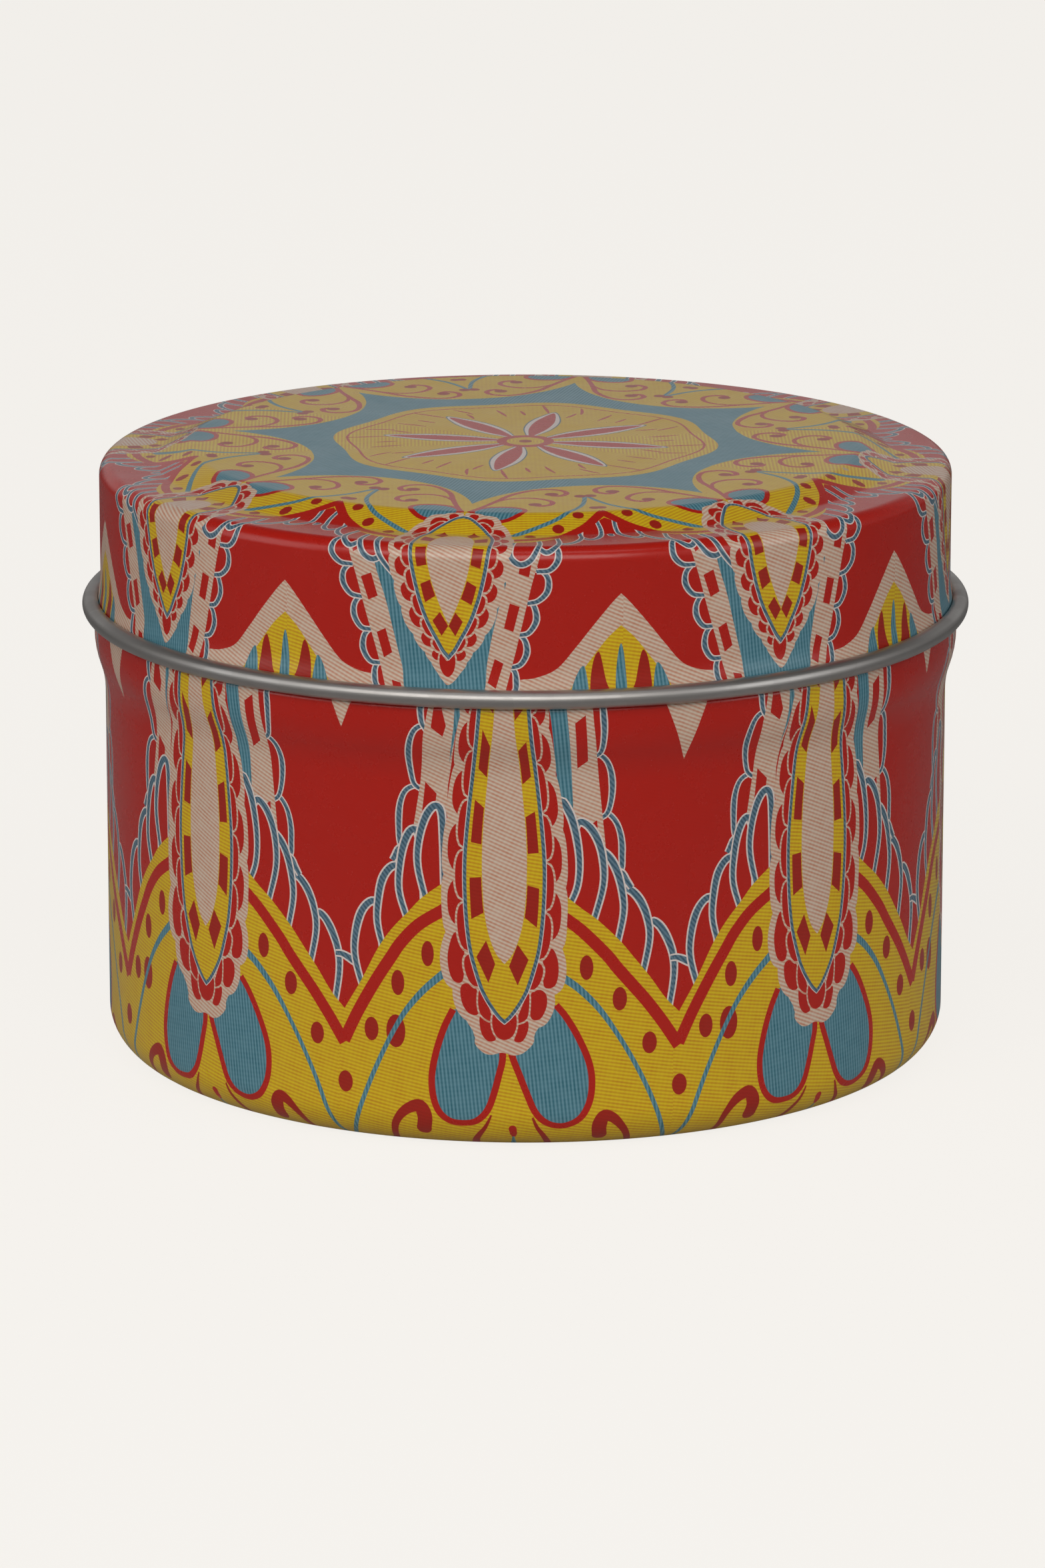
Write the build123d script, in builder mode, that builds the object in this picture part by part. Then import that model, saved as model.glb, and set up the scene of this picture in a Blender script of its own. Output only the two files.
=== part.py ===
"""A round slip-lid spice tin: a seamless drawn body and the lid that caps it.

Everything is in millimetres. The origin is on the axis at the foot of the tin and
+Z points up through the lid. Each piece is one sheet of tinplate, so its section is
drawn as the line of one face and given thickness by a one-sided offset.
"""

import os

from build123d import *

# Sheet
sheet = 0.23  # thickness of the tinplate, both pieces

# Tin body
wall_r = 38.17  # outside of the straight wall and of the neck inside the lid
foot_corner_r = 3.6  # outside radius where the wall turns under
base_rise = 1.0  # the base panel stands this far above the foot ring
base_panel_r = 30.7  # where the base panel meets its slope
base_slope_r = 33.2  # where the slope meets the foot ring
base_bend_r = 1.0  # bends at both ends of that slope
bead_low = 33.2  # height where the stop bead starts to swell
bead_full = 38.6  # height where it reaches its full width
bead_proud = 0.93  # how far it stands out from the wall
bead_top = 40.28  # top of the bead, where the lid's curl comes to rest
bead_corner_r = 0.55  # outside radius of the bead's top corner
neck_fillet_r = 0.25  # where the bead meets the neck
rim_r = 0.8  # outside radius of the inward rim curl
rim_top = 53.55  # top of that curl, just under the lid
rim_roll = 310  # degrees that the sheet is rolled through

# Lid
skirt_r = 38.5  # outside of the skirt
lid_ledge = 54.1  # top of the flat ledge round the rim
lid_corner_r = 1.25  # outside radius between skirt and ledge
ledge_in_r = 33.4  # where the ledge meets the slope
panel_r = 30.2  # where the slope meets the raised panel
panel_top = 55.45  # top of the raised panel
panel_bend_r = 1.5  # bends at both ends of the slope
flare_top = 43.7  # height where the skirt starts to ease outwards
curl_z = 41.0  # centre of the outward curl at the skirt's foot
curl_r = 0.83  # outside radius of the curl
curl_centre_r = 39.35  # distance of that centre from the axis
curl_roll = 310  # degrees that the sheet is rolled through

os.makedirs("parts", exist_ok=True)


def rolled_edge(centre, radius, start, sweep):
    """The section of a sheet rolled about a centre, angles anticlockwise from +X."""
    with BuildSketch() as rolled:
        with BuildLine():
            outer = CenterArc(centre, radius, start, sweep)
            inner = CenterArc(centre, radius - sheet, start, sweep)
            Line(outer @ 0, inner @ 0)
            Line(outer @ 1, inner @ 1)
        make_face()
    return rolled.sketch


def joggle(line, end):
    """Ease from the end of a line to a parallel one beside it, by two tangent arcs."""
    half_way = (line @ 1 + Vector(*end)) / 2
    leave = TangentArc(line @ 1, half_way, tangent=line % 1)
    return TangentArc(half_way, end, tangent=leave % 1)


# Each line below follows the face that ends up outside the piece's rolled edge: the
# printed outside on the body, and the bare inside on the lid.

with BuildPart() as tin_body:
    with BuildSketch(Plane.XZ):
        with BuildLine():
            base = FilletPolyline(
                (0, base_rise),
                (base_panel_r, base_rise),
                (base_slope_r, 0),
                (wall_r - foot_corner_r, 0),
                radius=base_bend_r,
            )
            foot = TangentArc(base @ 1, (wall_r, foot_corner_r), tangent=base % 1)
            wall = Line(foot @ 1, (wall_r, bead_low))
            swell = joggle(wall, (wall_r + bead_proud, bead_full))
            crown = FilletPolyline(
                swell @ 1,
                (wall_r + bead_proud, bead_top),
                (wall_r, bead_top),
                (wall_r, rim_top - rim_r),
                radius=(bead_corner_r, neck_fillet_r),
            )
            offset(amount=sheet, side=Side.LEFT)
        make_face()
        add(rolled_edge((wall_r - rim_r, rim_top - rim_r), rim_r, start=0, sweep=rim_roll))
    revolve(axis=Axis.Z)

with BuildPart() as lid:
    under = sheet  # the inside face lies one sheet below the heights named above
    with BuildSketch(Plane.XZ):
        with BuildLine():
            top = FilletPolyline(
                (0, panel_top - under),
                (panel_r, panel_top - under),
                (ledge_in_r, lid_ledge - under),
                (skirt_r - lid_corner_r, lid_ledge - under),
                radius=panel_bend_r,
            )
            skirt_in_r = skirt_r - sheet
            corner = TangentArc(top @ 1, (skirt_in_r, lid_ledge - lid_corner_r), tangent=top % 1)
            skirt = Line(corner @ 1, (skirt_in_r, flare_top))
            joggle(skirt, (curl_centre_r - curl_r, curl_z))
            offset(amount=sheet, side=Side.LEFT)
        make_face()
        add(rolled_edge((curl_centre_r, curl_z), curl_r, start=180, sweep=curl_roll))
    revolve(axis=Axis.Z)

tin_body.part.label = "tin_body"
lid.part.label = "lid"
for piece in (tin_body, lid):
    export_step(piece.part, f"parts/{piece.part.label}.step")

print(f"overall diameter {2 * (curl_centre_r + curl_r):.2f} mm, height {panel_top:.2f} mm")
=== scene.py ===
"""A printed slip-lid spice tin: two drawn tinplate shells and the inks on them.

The classes hold their sizes in millimetres, and a mesh is written in metres. Flat
artwork is drawn once for an eighth of the tin and repeated round the axis.
"""

import logging
import math
from dataclasses import dataclass, field
from enum import Enum
from typing import Sequence

import bpy
import numpy as np
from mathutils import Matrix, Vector
from mathutils.geometry import delaunay_2d_cdt


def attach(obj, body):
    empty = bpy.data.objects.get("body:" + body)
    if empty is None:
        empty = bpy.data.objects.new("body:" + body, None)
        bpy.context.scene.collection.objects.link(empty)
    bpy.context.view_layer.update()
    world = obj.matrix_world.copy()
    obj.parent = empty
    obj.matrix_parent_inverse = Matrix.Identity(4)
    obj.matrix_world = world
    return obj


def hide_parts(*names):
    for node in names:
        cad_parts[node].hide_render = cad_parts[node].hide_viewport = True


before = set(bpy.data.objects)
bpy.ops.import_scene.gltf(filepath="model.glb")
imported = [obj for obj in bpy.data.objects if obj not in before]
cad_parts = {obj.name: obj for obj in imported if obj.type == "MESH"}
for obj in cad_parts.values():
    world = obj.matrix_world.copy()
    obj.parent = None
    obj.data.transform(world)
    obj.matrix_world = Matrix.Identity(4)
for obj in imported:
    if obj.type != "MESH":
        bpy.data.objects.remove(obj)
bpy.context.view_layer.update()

log = logging.getLogger("spice_tin")

MM = 0.001
REPEATS = 8
SEGMENTS = 288
PER_REPEAT = SEGMENTS // REPEATS
REPEAT_ANGLE = 2 * math.pi / REPEATS
WELD = 1e-4

Pair = tuple[float, float]
Path = Sequence[Pair]


class Ink(Enum):
    """The inks of the print, by the name that their pieces carry."""

    RED = "red"
    DARK_RED = "dark_red"
    YELLOW = "yellow"
    TEAL = "teal"
    CREAM = "cream"
    SLATE = "slate"
    WHITE = "white"


class Space(Enum):
    """Where a flat shape is drawn: round the wall, or in plan seen along the axis."""

    WRAP = "wrap"
    PLAN = "plan"


# Curves


def smooth(points: Path, closed: bool = False, steps: int = 5) -> np.ndarray:
    """Draw a Catmull-Rom curve through a few points.

    Args:
        points: the points that the curve passes through.
        closed: whether the curve comes back to its first point.
        steps: how many chords stand for each span.

    Returns:
        The curve as an array of points; a closed one doesn't repeat its first.
    """
    p = np.asarray(points, float)
    ends = (p[-1:], p[:2]) if closed else (2 * p[:1] - p[1:2], 2 * p[-1:] - p[-2:-1])
    q = np.concatenate([ends[0], p, ends[1]])
    t = np.linspace(0, 1, steps, endpoint=False)[:, None]
    spans = []
    for a, b, c, d in zip(q, q[1:], q[2:], q[3:]):
        cubic = 3 * (b - c) + d - a
        spans.append(b + 0.5 * t * (c - a + t * (2 * a - 5 * b + 4 * c - d + t * cubic)))
    curve = np.concatenate(spans)
    return curve if closed else np.vstack([curve, p[-1]])


def along(path: np.ndarray) -> np.ndarray:
    """Distance of each point of a path from its start."""
    return np.concatenate([[0.0], np.cumsum(np.hypot(*np.diff(path, axis=0).T))])


def unit_normals(path: np.ndarray, closed: bool = False) -> np.ndarray:
    """Unit vectors to the right of a path at each of its points."""
    if closed:
        step = np.roll(path, -1, axis=0) - np.roll(path, 1, axis=0)
    else:
        step = np.gradient(path, axis=0)
    right = np.stack([step[:, 1], -step[:, 0]], axis=1)
    return right / np.maximum(np.hypot(*right.T), 1e-9)[:, None]


def mirrored(points: Path) -> list[Pair]:
    """The same points on the other side of the axis of a motif."""
    return [(-x, y) for x, y in points]


def turned(points: np.ndarray, angle: float) -> np.ndarray:
    """Points turned about the origin, from +y towards +x."""
    c, s = math.cos(angle), math.sin(angle)
    return points @ np.array([[c, -s], [s, c]])


@dataclass(frozen=True)
class Shape:
    """One flat area of one ink; kind is 0 or 1 when only every other repeat has it."""

    ink: Ink
    outline: np.ndarray
    space: Space
    kind: int | None = None


@dataclass
class Artwork:
    """The flat shapes of a print, in the order in which they are laid down."""

    space: Space = Space.WRAP
    shapes: list[Shape] = field(default_factory=list)

    def area(self, ink: Ink, outline: Path | np.ndarray) -> None:
        """Lay down a filled outline."""
        self.shapes.append(Shape(ink, np.asarray(outline, float), self.space))

    def leaf(self, ink: Ink, points: Path, steps: int = 5) -> None:
        """Lay down a filled outline with round stretches through a few points."""
        self.area(ink, smooth(points, closed=True, steps=steps))

    def band(self, ink: Ink, path: np.ndarray, width: float | Sequence[float], closed: bool = False) -> None:
        """Lay down a line of ink.

        Args:
            ink: the ink.
            path: the middle of the line.
            width: its width, or several widths spread evenly from start to end.
            closed: whether the line comes back to its start.
        """
        path = np.asarray(path, float)
        widths = np.atleast_1d(np.asarray(width, float))
        t = along(path) / along(path)[-1]
        half = 0.5 * np.interp(t, np.linspace(0, 1, len(widths)), widths)[:, None]
        right = unit_normals(path, closed) * half
        if not closed:
            self.area(ink, np.vstack([path + right, (path - right)[::-1]]))
            return
        for k in range(len(path)):
            n = (k + 1) % len(path)
            a, b = path[k], path[n]
            self.area(ink, [a + right[k], b + right[n], b - right[n], a - right[k]])

    def line(self, ink: Ink, points: Path, width: float | Sequence[float], steps: int = 5) -> None:
        """Lay down a smooth line of ink through a few points."""
        self.band(ink, smooth(points, steps=steps), width)

    def dot(self, ink: Ink, x: float, y: float, half_w: float, half_h: float) -> None:
        """Lay down an oval dot."""
        a = np.linspace(0, 2 * math.pi, 20, endpoint=False)
        self.area(ink, np.stack([x + half_w * np.cos(a), y + half_h * np.sin(a)], axis=1))

    def corded(self, points: Path, thick: float = 1.0) -> None:
        """Lay down a red lobe edged by a slate cord between two white lines.

        Args:
            points: the middle of the cord.
            thick: how heavy the cord is.
        """
        path = smooth(points)
        self.area(Ink.RED, path)
        for ink, more in ((Ink.WHITE, 0.3), (Ink.SLATE, 0.0)):
            self.band(ink, path, [thick * (width + more) for width in (0.36, 0.46, 0.58, 0.44, 0.36)])


# Sections of the sheet


@dataclass(frozen=True)
class Section:
    """A sheet in section, from the axis outwards, as the line of one of its faces."""

    points: np.ndarray
    left: np.ndarray

    @classmethod
    def drawn(cls, corners: Path, radii: Sequence[float], roll_r: float, roll: float) -> "Section":
        """Draw a line with rounded corners that ends in a rolled edge.

        Args:
            corners: the corners of the line, (radius, height).
            radii: the radius at each corner between the two ends.
            roll_r: radius of the roll at the end, which turns to the left.
            roll: degrees that the sheet is rolled through.

        Returns:
            The section, with the unit vector to the left at each point.
        """
        c = [np.array(p, float) for p in corners]
        points, left = [c[0]], []
        for before, at, after, radius in zip(c, c[1:], c[2:], radii):
            d0 = (at - before) / np.linalg.norm(at - before)
            d1 = (after - at) / np.linalg.norm(after - at)
            turn = math.atan2(d0[0] * d1[1] - d0[1] * d1[0], float(d0 @ d1))
            side = math.copysign(1.0, turn)
            left0 = np.array([-d0[1], d0[0]])
            if not left:
                left.append(left0)
            start = at - d0 * radius * math.tan(abs(turn) / 2)
            centre = start + left0 * radius * side
            count = max(3, math.ceil(abs(turn) / math.radians(6)))
            for a in np.linspace(0, turn, count + 1):
                n = np.array([left0[0] * math.cos(a) - left0[1] * math.sin(a),
                              left0[0] * math.sin(a) + left0[1] * math.cos(a)])
                points.append(centre - n * radius * side)
                left.append(n)
        centre = c[-1] + left[-1] * roll_r
        first = left[-1]
        for a in np.radians(np.linspace(0, roll, 40)):
            n = np.array([first[0] * math.cos(a) - first[1] * math.sin(a),
                          first[0] * math.sin(a) + first[1] * math.cos(a)])
            points.append(centre - n * roll_r)
            left.append(n)
        line, normal = np.array(points), np.array(left)
        apart = np.concatenate([[True], np.hypot(*np.diff(line, axis=0).T) > WELD])
        return cls(line[apart], normal[apart])

    def nearest(self, point: Pair) -> int:
        """Index of the point of the line that is nearest to a given one."""
        return int(np.argmin(np.hypot(*(self.points - point).T)))


def joggle(start: Pair, end: Pair) -> tuple[Pair, Pair, float]:
    """Two corners and a radius that ease a line into a parallel one beside it.

    Args:
        start: where the line leaves its old course, (radius, height).
        end: where it takes up its new one.

    Returns:
        The two corners, and the radius of the arc at each.
    """
    across, up = abs(end[0] - start[0]), abs(end[1] - start[1])
    radius = ((across / 2) ** 2 + (up / 2) ** 2) / across
    reach = math.copysign(radius * across / up, end[1] - start[1])
    return (start[0], start[1] + reach), (end[0], end[1] - reach), radius


@dataclass(frozen=True)
class PrintedFace:
    """The printed face of a sheet, measured by height along the wall."""

    points: np.ndarray
    normals: np.ndarray
    heights: np.ndarray
    plan_r: float

    def at(self, heights: np.ndarray) -> tuple[np.ndarray, np.ndarray]:
        """Points and outward normals at heights measured along the face."""
        order = np.argsort(self.heights)
        known = self.heights[order]
        values = np.hstack([self.points, self.normals])[order]
        found = np.stack([np.interp(heights, known, column) for column in values.T], axis=1)
        return found[:, :2], found[:, 2:]

    def on_top(self) -> np.ndarray:
        """Which points lie in the part that is drawn in plan."""
        flat = np.arange(len(self.points)) <= np.argmax(self.points[:, 0] > self.plan_r + 1e-6)
        return flat & (self.points[:, 0] <= self.plan_r + 1e-6)

    def height_at(self, radii: np.ndarray) -> np.ndarray:
        """Heights along the face at distances from the axis, within the plan part."""
        top = self.on_top()
        return np.interp(radii, self.points[top, 0], self.heights[top])

    def radius_at(self, heights: np.ndarray) -> np.ndarray:
        """Distances from the axis in plan; past the plan part they go on outwards."""
        top = self.on_top()
        known_h, known_r = self.heights[top], self.points[top, 0]
        edge = known_h[-1]
        past = np.maximum(0, (heights - edge) * np.sign(edge - known_h[0]))
        order = np.argsort(known_h)
        return np.interp(heights, known_h[order], known_r[order]) + past


def wound(point: np.ndarray, outline: np.ndarray) -> np.ndarray:
    """How many times an outline winds round each of some points."""
    turns = np.zeros(len(point), int)
    x, y = point.T
    for (ax, ay), (bx, by) in zip(outline, np.roll(outline, -1, axis=0)):
        side = (bx - ax) * (y - ay) - (x - ax) * (by - ay)
        turns += ((ay <= y) & (by > y) & (side > 0)).astype(int)
        turns -= ((ay > y) & (by <= y) & (side < 0)).astype(int)
    return turns


def cut_flat(domain: np.ndarray, guides: list[np.ndarray], shapes: list[Shape]) -> tuple:
    """Cut a flat domain into triangles along its guides and the edges of its shapes.

    Args:
        domain: outline of the part that is kept.
        guides: lines that the triangles must not cross.
        shapes: the artwork, in the order in which it is laid down.

    Returns:
        The points, the triangles, and for each triangle the ink that lies on top.
    """
    points: list[np.ndarray] = []
    edges: list[tuple[int, int]] = []
    outlines = [domain] + [s.outline for s in shapes]
    for path, closed in [(o, True) for o in outlines] + [(g, False) for g in guides]:
        first, count = sum(len(p) for p in points), len(path)
        points.append(path)
        edges += [(first + k, first + k + 1) for k in range(count - 1)]
        if closed:
            edges.append((first + count - 1, first))
    flat = [Vector(p) for p in np.concatenate(points)]
    cut = delaunay_2d_cdt(flat, edges, [], 0, 1e-5, False)
    at = np.array([v[:] for v in cut[0]])
    triangles = np.array([f for f in cut[2] if len(f) == 3])
    middle = at[triangles].mean(axis=1)
    kept = wound(middle, domain) != 0
    triangles, middle = triangles[kept], middle[kept]
    top = np.full(len(triangles), list(Ink).index(Ink.RED))
    for shape in shapes:
        low, high = shape.outline.min(axis=0), shape.outline.max(axis=0)
        near = np.flatnonzero(((middle >= low) & (middle <= high)).all(axis=1))
        inside = near[wound(middle[near], shape.outline) != 0]
        top[inside] = list(Ink).index(shape.ink)
    return at, triangles, top


# Making pieces


def coat(piece: bpy.types.Object, *materials: bpy.types.Material) -> bpy.types.Object:
    """Give a piece its materials, one for each slot in turn."""
    for material in materials:
        piece.data.materials.append(material)
    return piece


def solid_mesh(name: str, points: np.ndarray, normals: np.ndarray, faces: Sequence, uv: np.ndarray | None = None) -> bpy.types.Object:
    """Make a piece from points in millimetres, shaded by normals of its own.

    Args:
        name: the piece's name.
        points: its points.
        normals: the outward normal at each point.
        faces: its faces, as indices into the points.
        uv: two texture coordinates for each corner of each face, in millimetres.

    Returns:
        The new object.
    """
    mesh = bpy.data.meshes.new(name)
    mesh.from_pydata((points * MM).tolist(), [], [tuple(f) for f in faces])
    mesh.polygons.foreach_set("use_smooth", [True] * len(mesh.polygons))
    if uv is not None:
        mesh.uv_layers.new(name="print").data.foreach_set("uv", uv.ravel())
    mesh.validate()
    mesh.normals_split_custom_set_from_vertices(normals.tolist())
    piece = bpy.data.objects.new(name, mesh)
    bpy.context.scene.collection.objects.link(piece)
    return piece


def revolved(name: str, line: np.ndarray, normals: np.ndarray) -> bpy.types.Object:
    """Turn a line that starts and ends on the axis into a closed shell.

    Args:
        name: the piece's name.
        line: points (radius, height) in millimetres.
        normals: the outward normal at each point.

    Returns:
        The new object.
    """
    ring = line[1:-1]
    ring_n = normals[1:-1]
    angle = np.arange(SEGMENTS) * 2 * math.pi / SEGMENTS
    sin, cos = np.sin(angle), -np.cos(angle)
    spread = [np.stack([sin * r, cos * r, np.full(SEGMENTS, z)], axis=1) for r, z in ring]
    spread_n = [np.stack([sin * r, cos * r, np.full(SEGMENTS, z)], axis=1) for r, z in ring_n]
    poles = [[0, 0, line[0, 1]], [0, 0, line[-1, 1]]]
    pole_n = [[0, 0, normals[0, 1]], [0, 0, normals[-1, 1]]]
    points = np.vstack(spread + [poles])
    all_n = np.vstack(spread_n + [pole_n])
    count = len(ring)
    faces: list[tuple[int, ...]] = []
    for k in range(SEGMENTS):
        n = (k + 1) % SEGMENTS
        rows = range(count - 1)
        faces += [(i * SEGMENTS + k, i * SEGMENTS + n, (i + 1) * SEGMENTS + n, (i + 1) * SEGMENTS + k) for i in rows]
        last = (count - 1) * SEGMENTS
        faces.append((count * SEGMENTS, n, k))
        faces.append((count * SEGMENTS + 1, last + k, last + n))
    a, b, c = (points[corner] for corner in faces[0][:3])
    if float(np.cross(b - a, c - a) @ all_n[faces[0][0]]) < 0:
        faces = [f[::-1] for f in faces]
    return solid_mesh(name, points, all_n, faces)


@dataclass(frozen=True)
class Print:
    """A print on one face: the artwork of an eighth, and where the repeats stand."""

    name: str
    face: PrintedFace
    wrap_r: float
    low: float
    high: float
    turn: float
    art: Artwork

    def cut(self, kind: int) -> tuple[np.ndarray, np.ndarray, np.ndarray, np.ndarray, np.ndarray]:
        """Cut the artwork of one repeat on the wall and in plan.

        Args:
            kind: 0 for the even repeats and 1 for the odd ones.

        Returns:
            Points (azimuth, radius, height), normals (radial, upward), triangles,
            their ink, and texture coordinates for each corner.
        """
        parts = [self.cut_wrap(kind), self.cut_plan()]
        azimuth_r_z, normals, triangles, inks, uvs, first = [], [], [], [], [], 0
        for polar, normal, tris, top, uv in parts:
            azimuth_r_z.append(polar)
            normals.append(normal)
            triangles.append(tris + first)
            inks.append(top)
            uvs.append(uv[tris])
            first += len(polar)
        return tuple(np.concatenate(p) for p in (azimuth_r_z, normals, triangles, inks, uvs))

    def cut_wrap(self, kind: int) -> tuple:
        """Cut the part round the wall, where x is the distance round and y the height."""
        pitch = REPEAT_ANGLE * self.wrap_r
        columns = (np.arange(PER_REPEAT + 1) / PER_REPEAT - 0.5) * pitch
        bends = np.unique(self.face.heights.round(6))
        rows = bends[(bends > self.low) & (bends < self.high)]
        span = self.high - self.low
        extra = np.arange(1, round(span / 6)) * span / round(span / 6) + self.low
        rows = np.concatenate([rows, [e for e in extra if np.abs(rows - e).min(initial=9) > 2]])
        bottom = np.stack([columns, np.full(len(columns), self.low)], axis=1)
        top = np.stack([columns[::-1], np.full(len(columns), self.high)], axis=1)
        side = np.sort(rows)
        right = np.stack([np.full(len(side), columns[-1]), side], axis=1)
        left = np.stack([np.full(len(side), columns[0]), side[::-1]], axis=1)
        domain = np.concatenate([bottom, right, top, left])
        guides = [np.array([[c, self.low], [c, self.high]]) for c in columns[1:-1]]
        guides += [np.stack([columns, np.full(len(columns), r)], axis=1) for r in rows]
        shapes = []
        for shape in self.art.shapes:
            if shape.space is Space.WRAP:
                for copy in (-1, 0, 1):
                    if shape.kind is not None and (kind + copy) % 2 != shape.kind:
                        continue
                    moved = shape.outline + [copy * pitch, 0]
                    seen = (moved.max(axis=0) > domain.min(axis=0)) & (moved.min(axis=0) < domain.max(axis=0))
                    if seen.all():
                        shapes.append(Shape(shape.ink, moved, shape.space))
        at, triangles, top_ink = cut_flat(domain, guides, shapes)
        section, normals = self.face.at(at[:, 1])
        polar = np.column_stack([at[:, 0] / self.wrap_r, section])
        return polar, normals, triangles, top_ink, at

    def in_plan(self, outline: np.ndarray) -> np.ndarray:
        """A wall shape laid out in plan, with points added along its longer edges."""
        nxt = np.roll(outline, -1, axis=0)
        dense = []
        for a, b in zip(outline, nxt):
            pieces = max(1, math.ceil(np.hypot(*(b - a)) / 0.8))
            dense.append(a + (b - a) * np.linspace(0, 1, pieces, endpoint=False)[:, None])
        path = np.concatenate(dense)
        r = self.face.radius_at(path[:, 1])
        a = path[:, 0] / self.wrap_r
        return np.stack([r * np.sin(a), r * np.cos(a)], axis=1)

    def cut_plan(self) -> tuple:
        """Cut the part in plan, where y points from the axis to the motif's middle."""
        edge = self.face.plan_r
        half = REPEAT_ANGLE / 2
        angles = np.linspace(-half, half, PER_REPEAT + 1)
        top = self.face.on_top()
        radii = np.unique(self.face.points[top, 0].round(6))
        radii = radii[(radii > 1) & (radii < edge - 1e-3)]

        def spoke(angle: float, distances: np.ndarray) -> np.ndarray:
            """Points on a straight line from the axis."""
            return np.stack([distances * math.sin(angle), distances * math.cos(angle)], axis=1)

        def arc(radius: float, reach: np.ndarray) -> np.ndarray:
            """Points on an arc about the axis."""
            return np.stack([radius * np.sin(reach), radius * np.cos(reach)], axis=1)

        stations = np.concatenate([[0.0], radii])
        domain = np.concatenate([spoke(-half, stations), arc(edge, angles), spoke(half, radii[::-1])])
        guides = [spoke(a, np.array([radii[0], edge])) for a in angles[1:-1]]
        guides += [arc(r, angles) for r in radii]
        wedge_low, wedge_high = domain.min(axis=0) - 0.5, domain.max(axis=0) + 0.5
        shapes = []
        for shape in self.art.shapes:
            flat = shape.outline
            if shape.space is Space.WRAP:
                limit = self.face.height_at(np.array([edge]))[0]
                inner = self.face.height_at(np.array([0.0]))[0]
                if (np.sign(inner - limit) * (flat[:, 1] - limit)).max() < -1.5:
                    continue
                flat = self.in_plan(flat)
            for copy in (-1, 0, 1):
                moved = turned(flat, copy * REPEAT_ANGLE)
                seen = (moved.max(axis=0) > wedge_low) & (moved.min(axis=0) < wedge_high)
                if seen.all():
                    shapes.append(Shape(shape.ink, moved, shape.space))
        at, triangles, top_ink = cut_flat(domain, guides, shapes)
        r = np.hypot(*at.T)
        azimuth = np.arctan2(at[:, 0], at[:, 1])
        section, normals = self.face.at(self.face.height_at(r))
        polar = np.column_stack([azimuth, r, section[:, 1]])
        return polar, normals, triangles, top_ink, at

    def pieces(self, inks: dict[Ink, bpy.types.Material], body: str) -> list[bpy.types.Object]:
        """Repeat the cut artwork round the axis and make one piece for each ink.

        Args:
            inks: the material of each ink.
            body: the body that the pieces move with.

        Returns:
            The pieces.
        """
        kinds = 2 if any(shape.kind is not None for shape in self.art.shapes) else 1
        cuts = [self.cut(kind) for kind in range(kinds)]
        made = []
        for number, ink in enumerate(Ink):
            if not any((inked == number).any() for _, _, _, inked, _ in cuts):
                continue
            points, normals, faces, uvs = [], [], [], []
            first = 0
            for copy in range(REPEATS):
                polar, normal, triangles, inked, uv = cuts[copy % kinds]
                a = polar[:, 0] + self.turn + copy * REPEAT_ANGLE
                sin, cos = np.sin(a), -np.cos(a)
                points.append(np.column_stack([sin * polar[:, 1], cos * polar[:, 1], polar[:, 2]]))
                normals.append(np.column_stack([sin * normal[:, 0], cos * normal[:, 0], normal[:, 1]]))
                faces.append(triangles[inked == number] + first)
                uvs.append(uv[inked == number])
                first += len(polar)
            welded = self.weld(*(np.concatenate(p) for p in (points, normals, faces, uvs)))
            piece = solid_mesh(f"{self.name}_{ink.value}", *welded)
            coat(piece, inks[ink])
            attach(piece, body)
            log.info("%s: %d faces", piece.name, len(piece.data.polygons))
            made.append(piece)
        return made

    @staticmethod
    def weld(points: np.ndarray, normals: np.ndarray, faces: np.ndarray, uv: np.ndarray) -> tuple:
        """Join points that coincide, drop thin slivers and turn every face outwards.

        Args:
            points: all points.
            normals: their normals.
            faces: the triangles.
            uv: texture coordinates for each corner of each triangle.

        Returns:
            Points, normals, triangles and texture coordinates, with no unused points.
        """
        _, first, index = np.unique((points / WELD).round(), axis=0, return_index=True, return_inverse=True)
        faces = index.ravel()[faces]
        points, normals = points[first], normals[first]
        a, b, c = (points[faces[:, k]] for k in range(3))
        across = np.cross(b - a, c - a)
        sound = np.linalg.norm(across, axis=1) > 1e-7
        faces, uv, across = faces[sound], uv[sound], across[sound]
        inwards = (across * normals[faces[:, 0]]).sum(axis=1) < 0
        faces[inwards] = faces[inwards][:, ::-1]
        uv[inwards] = uv[inwards][:, ::-1]
        used, index = np.unique(faces, return_inverse=True)
        return points[used], normals[used], index.reshape(-1, 3), uv


# Artwork


@dataclass(frozen=True)
class Check:
    """A dark check between the cream drop and the cord, by its heights on both sides."""

    side: int
    inner: Pair
    outer: Pair


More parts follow.
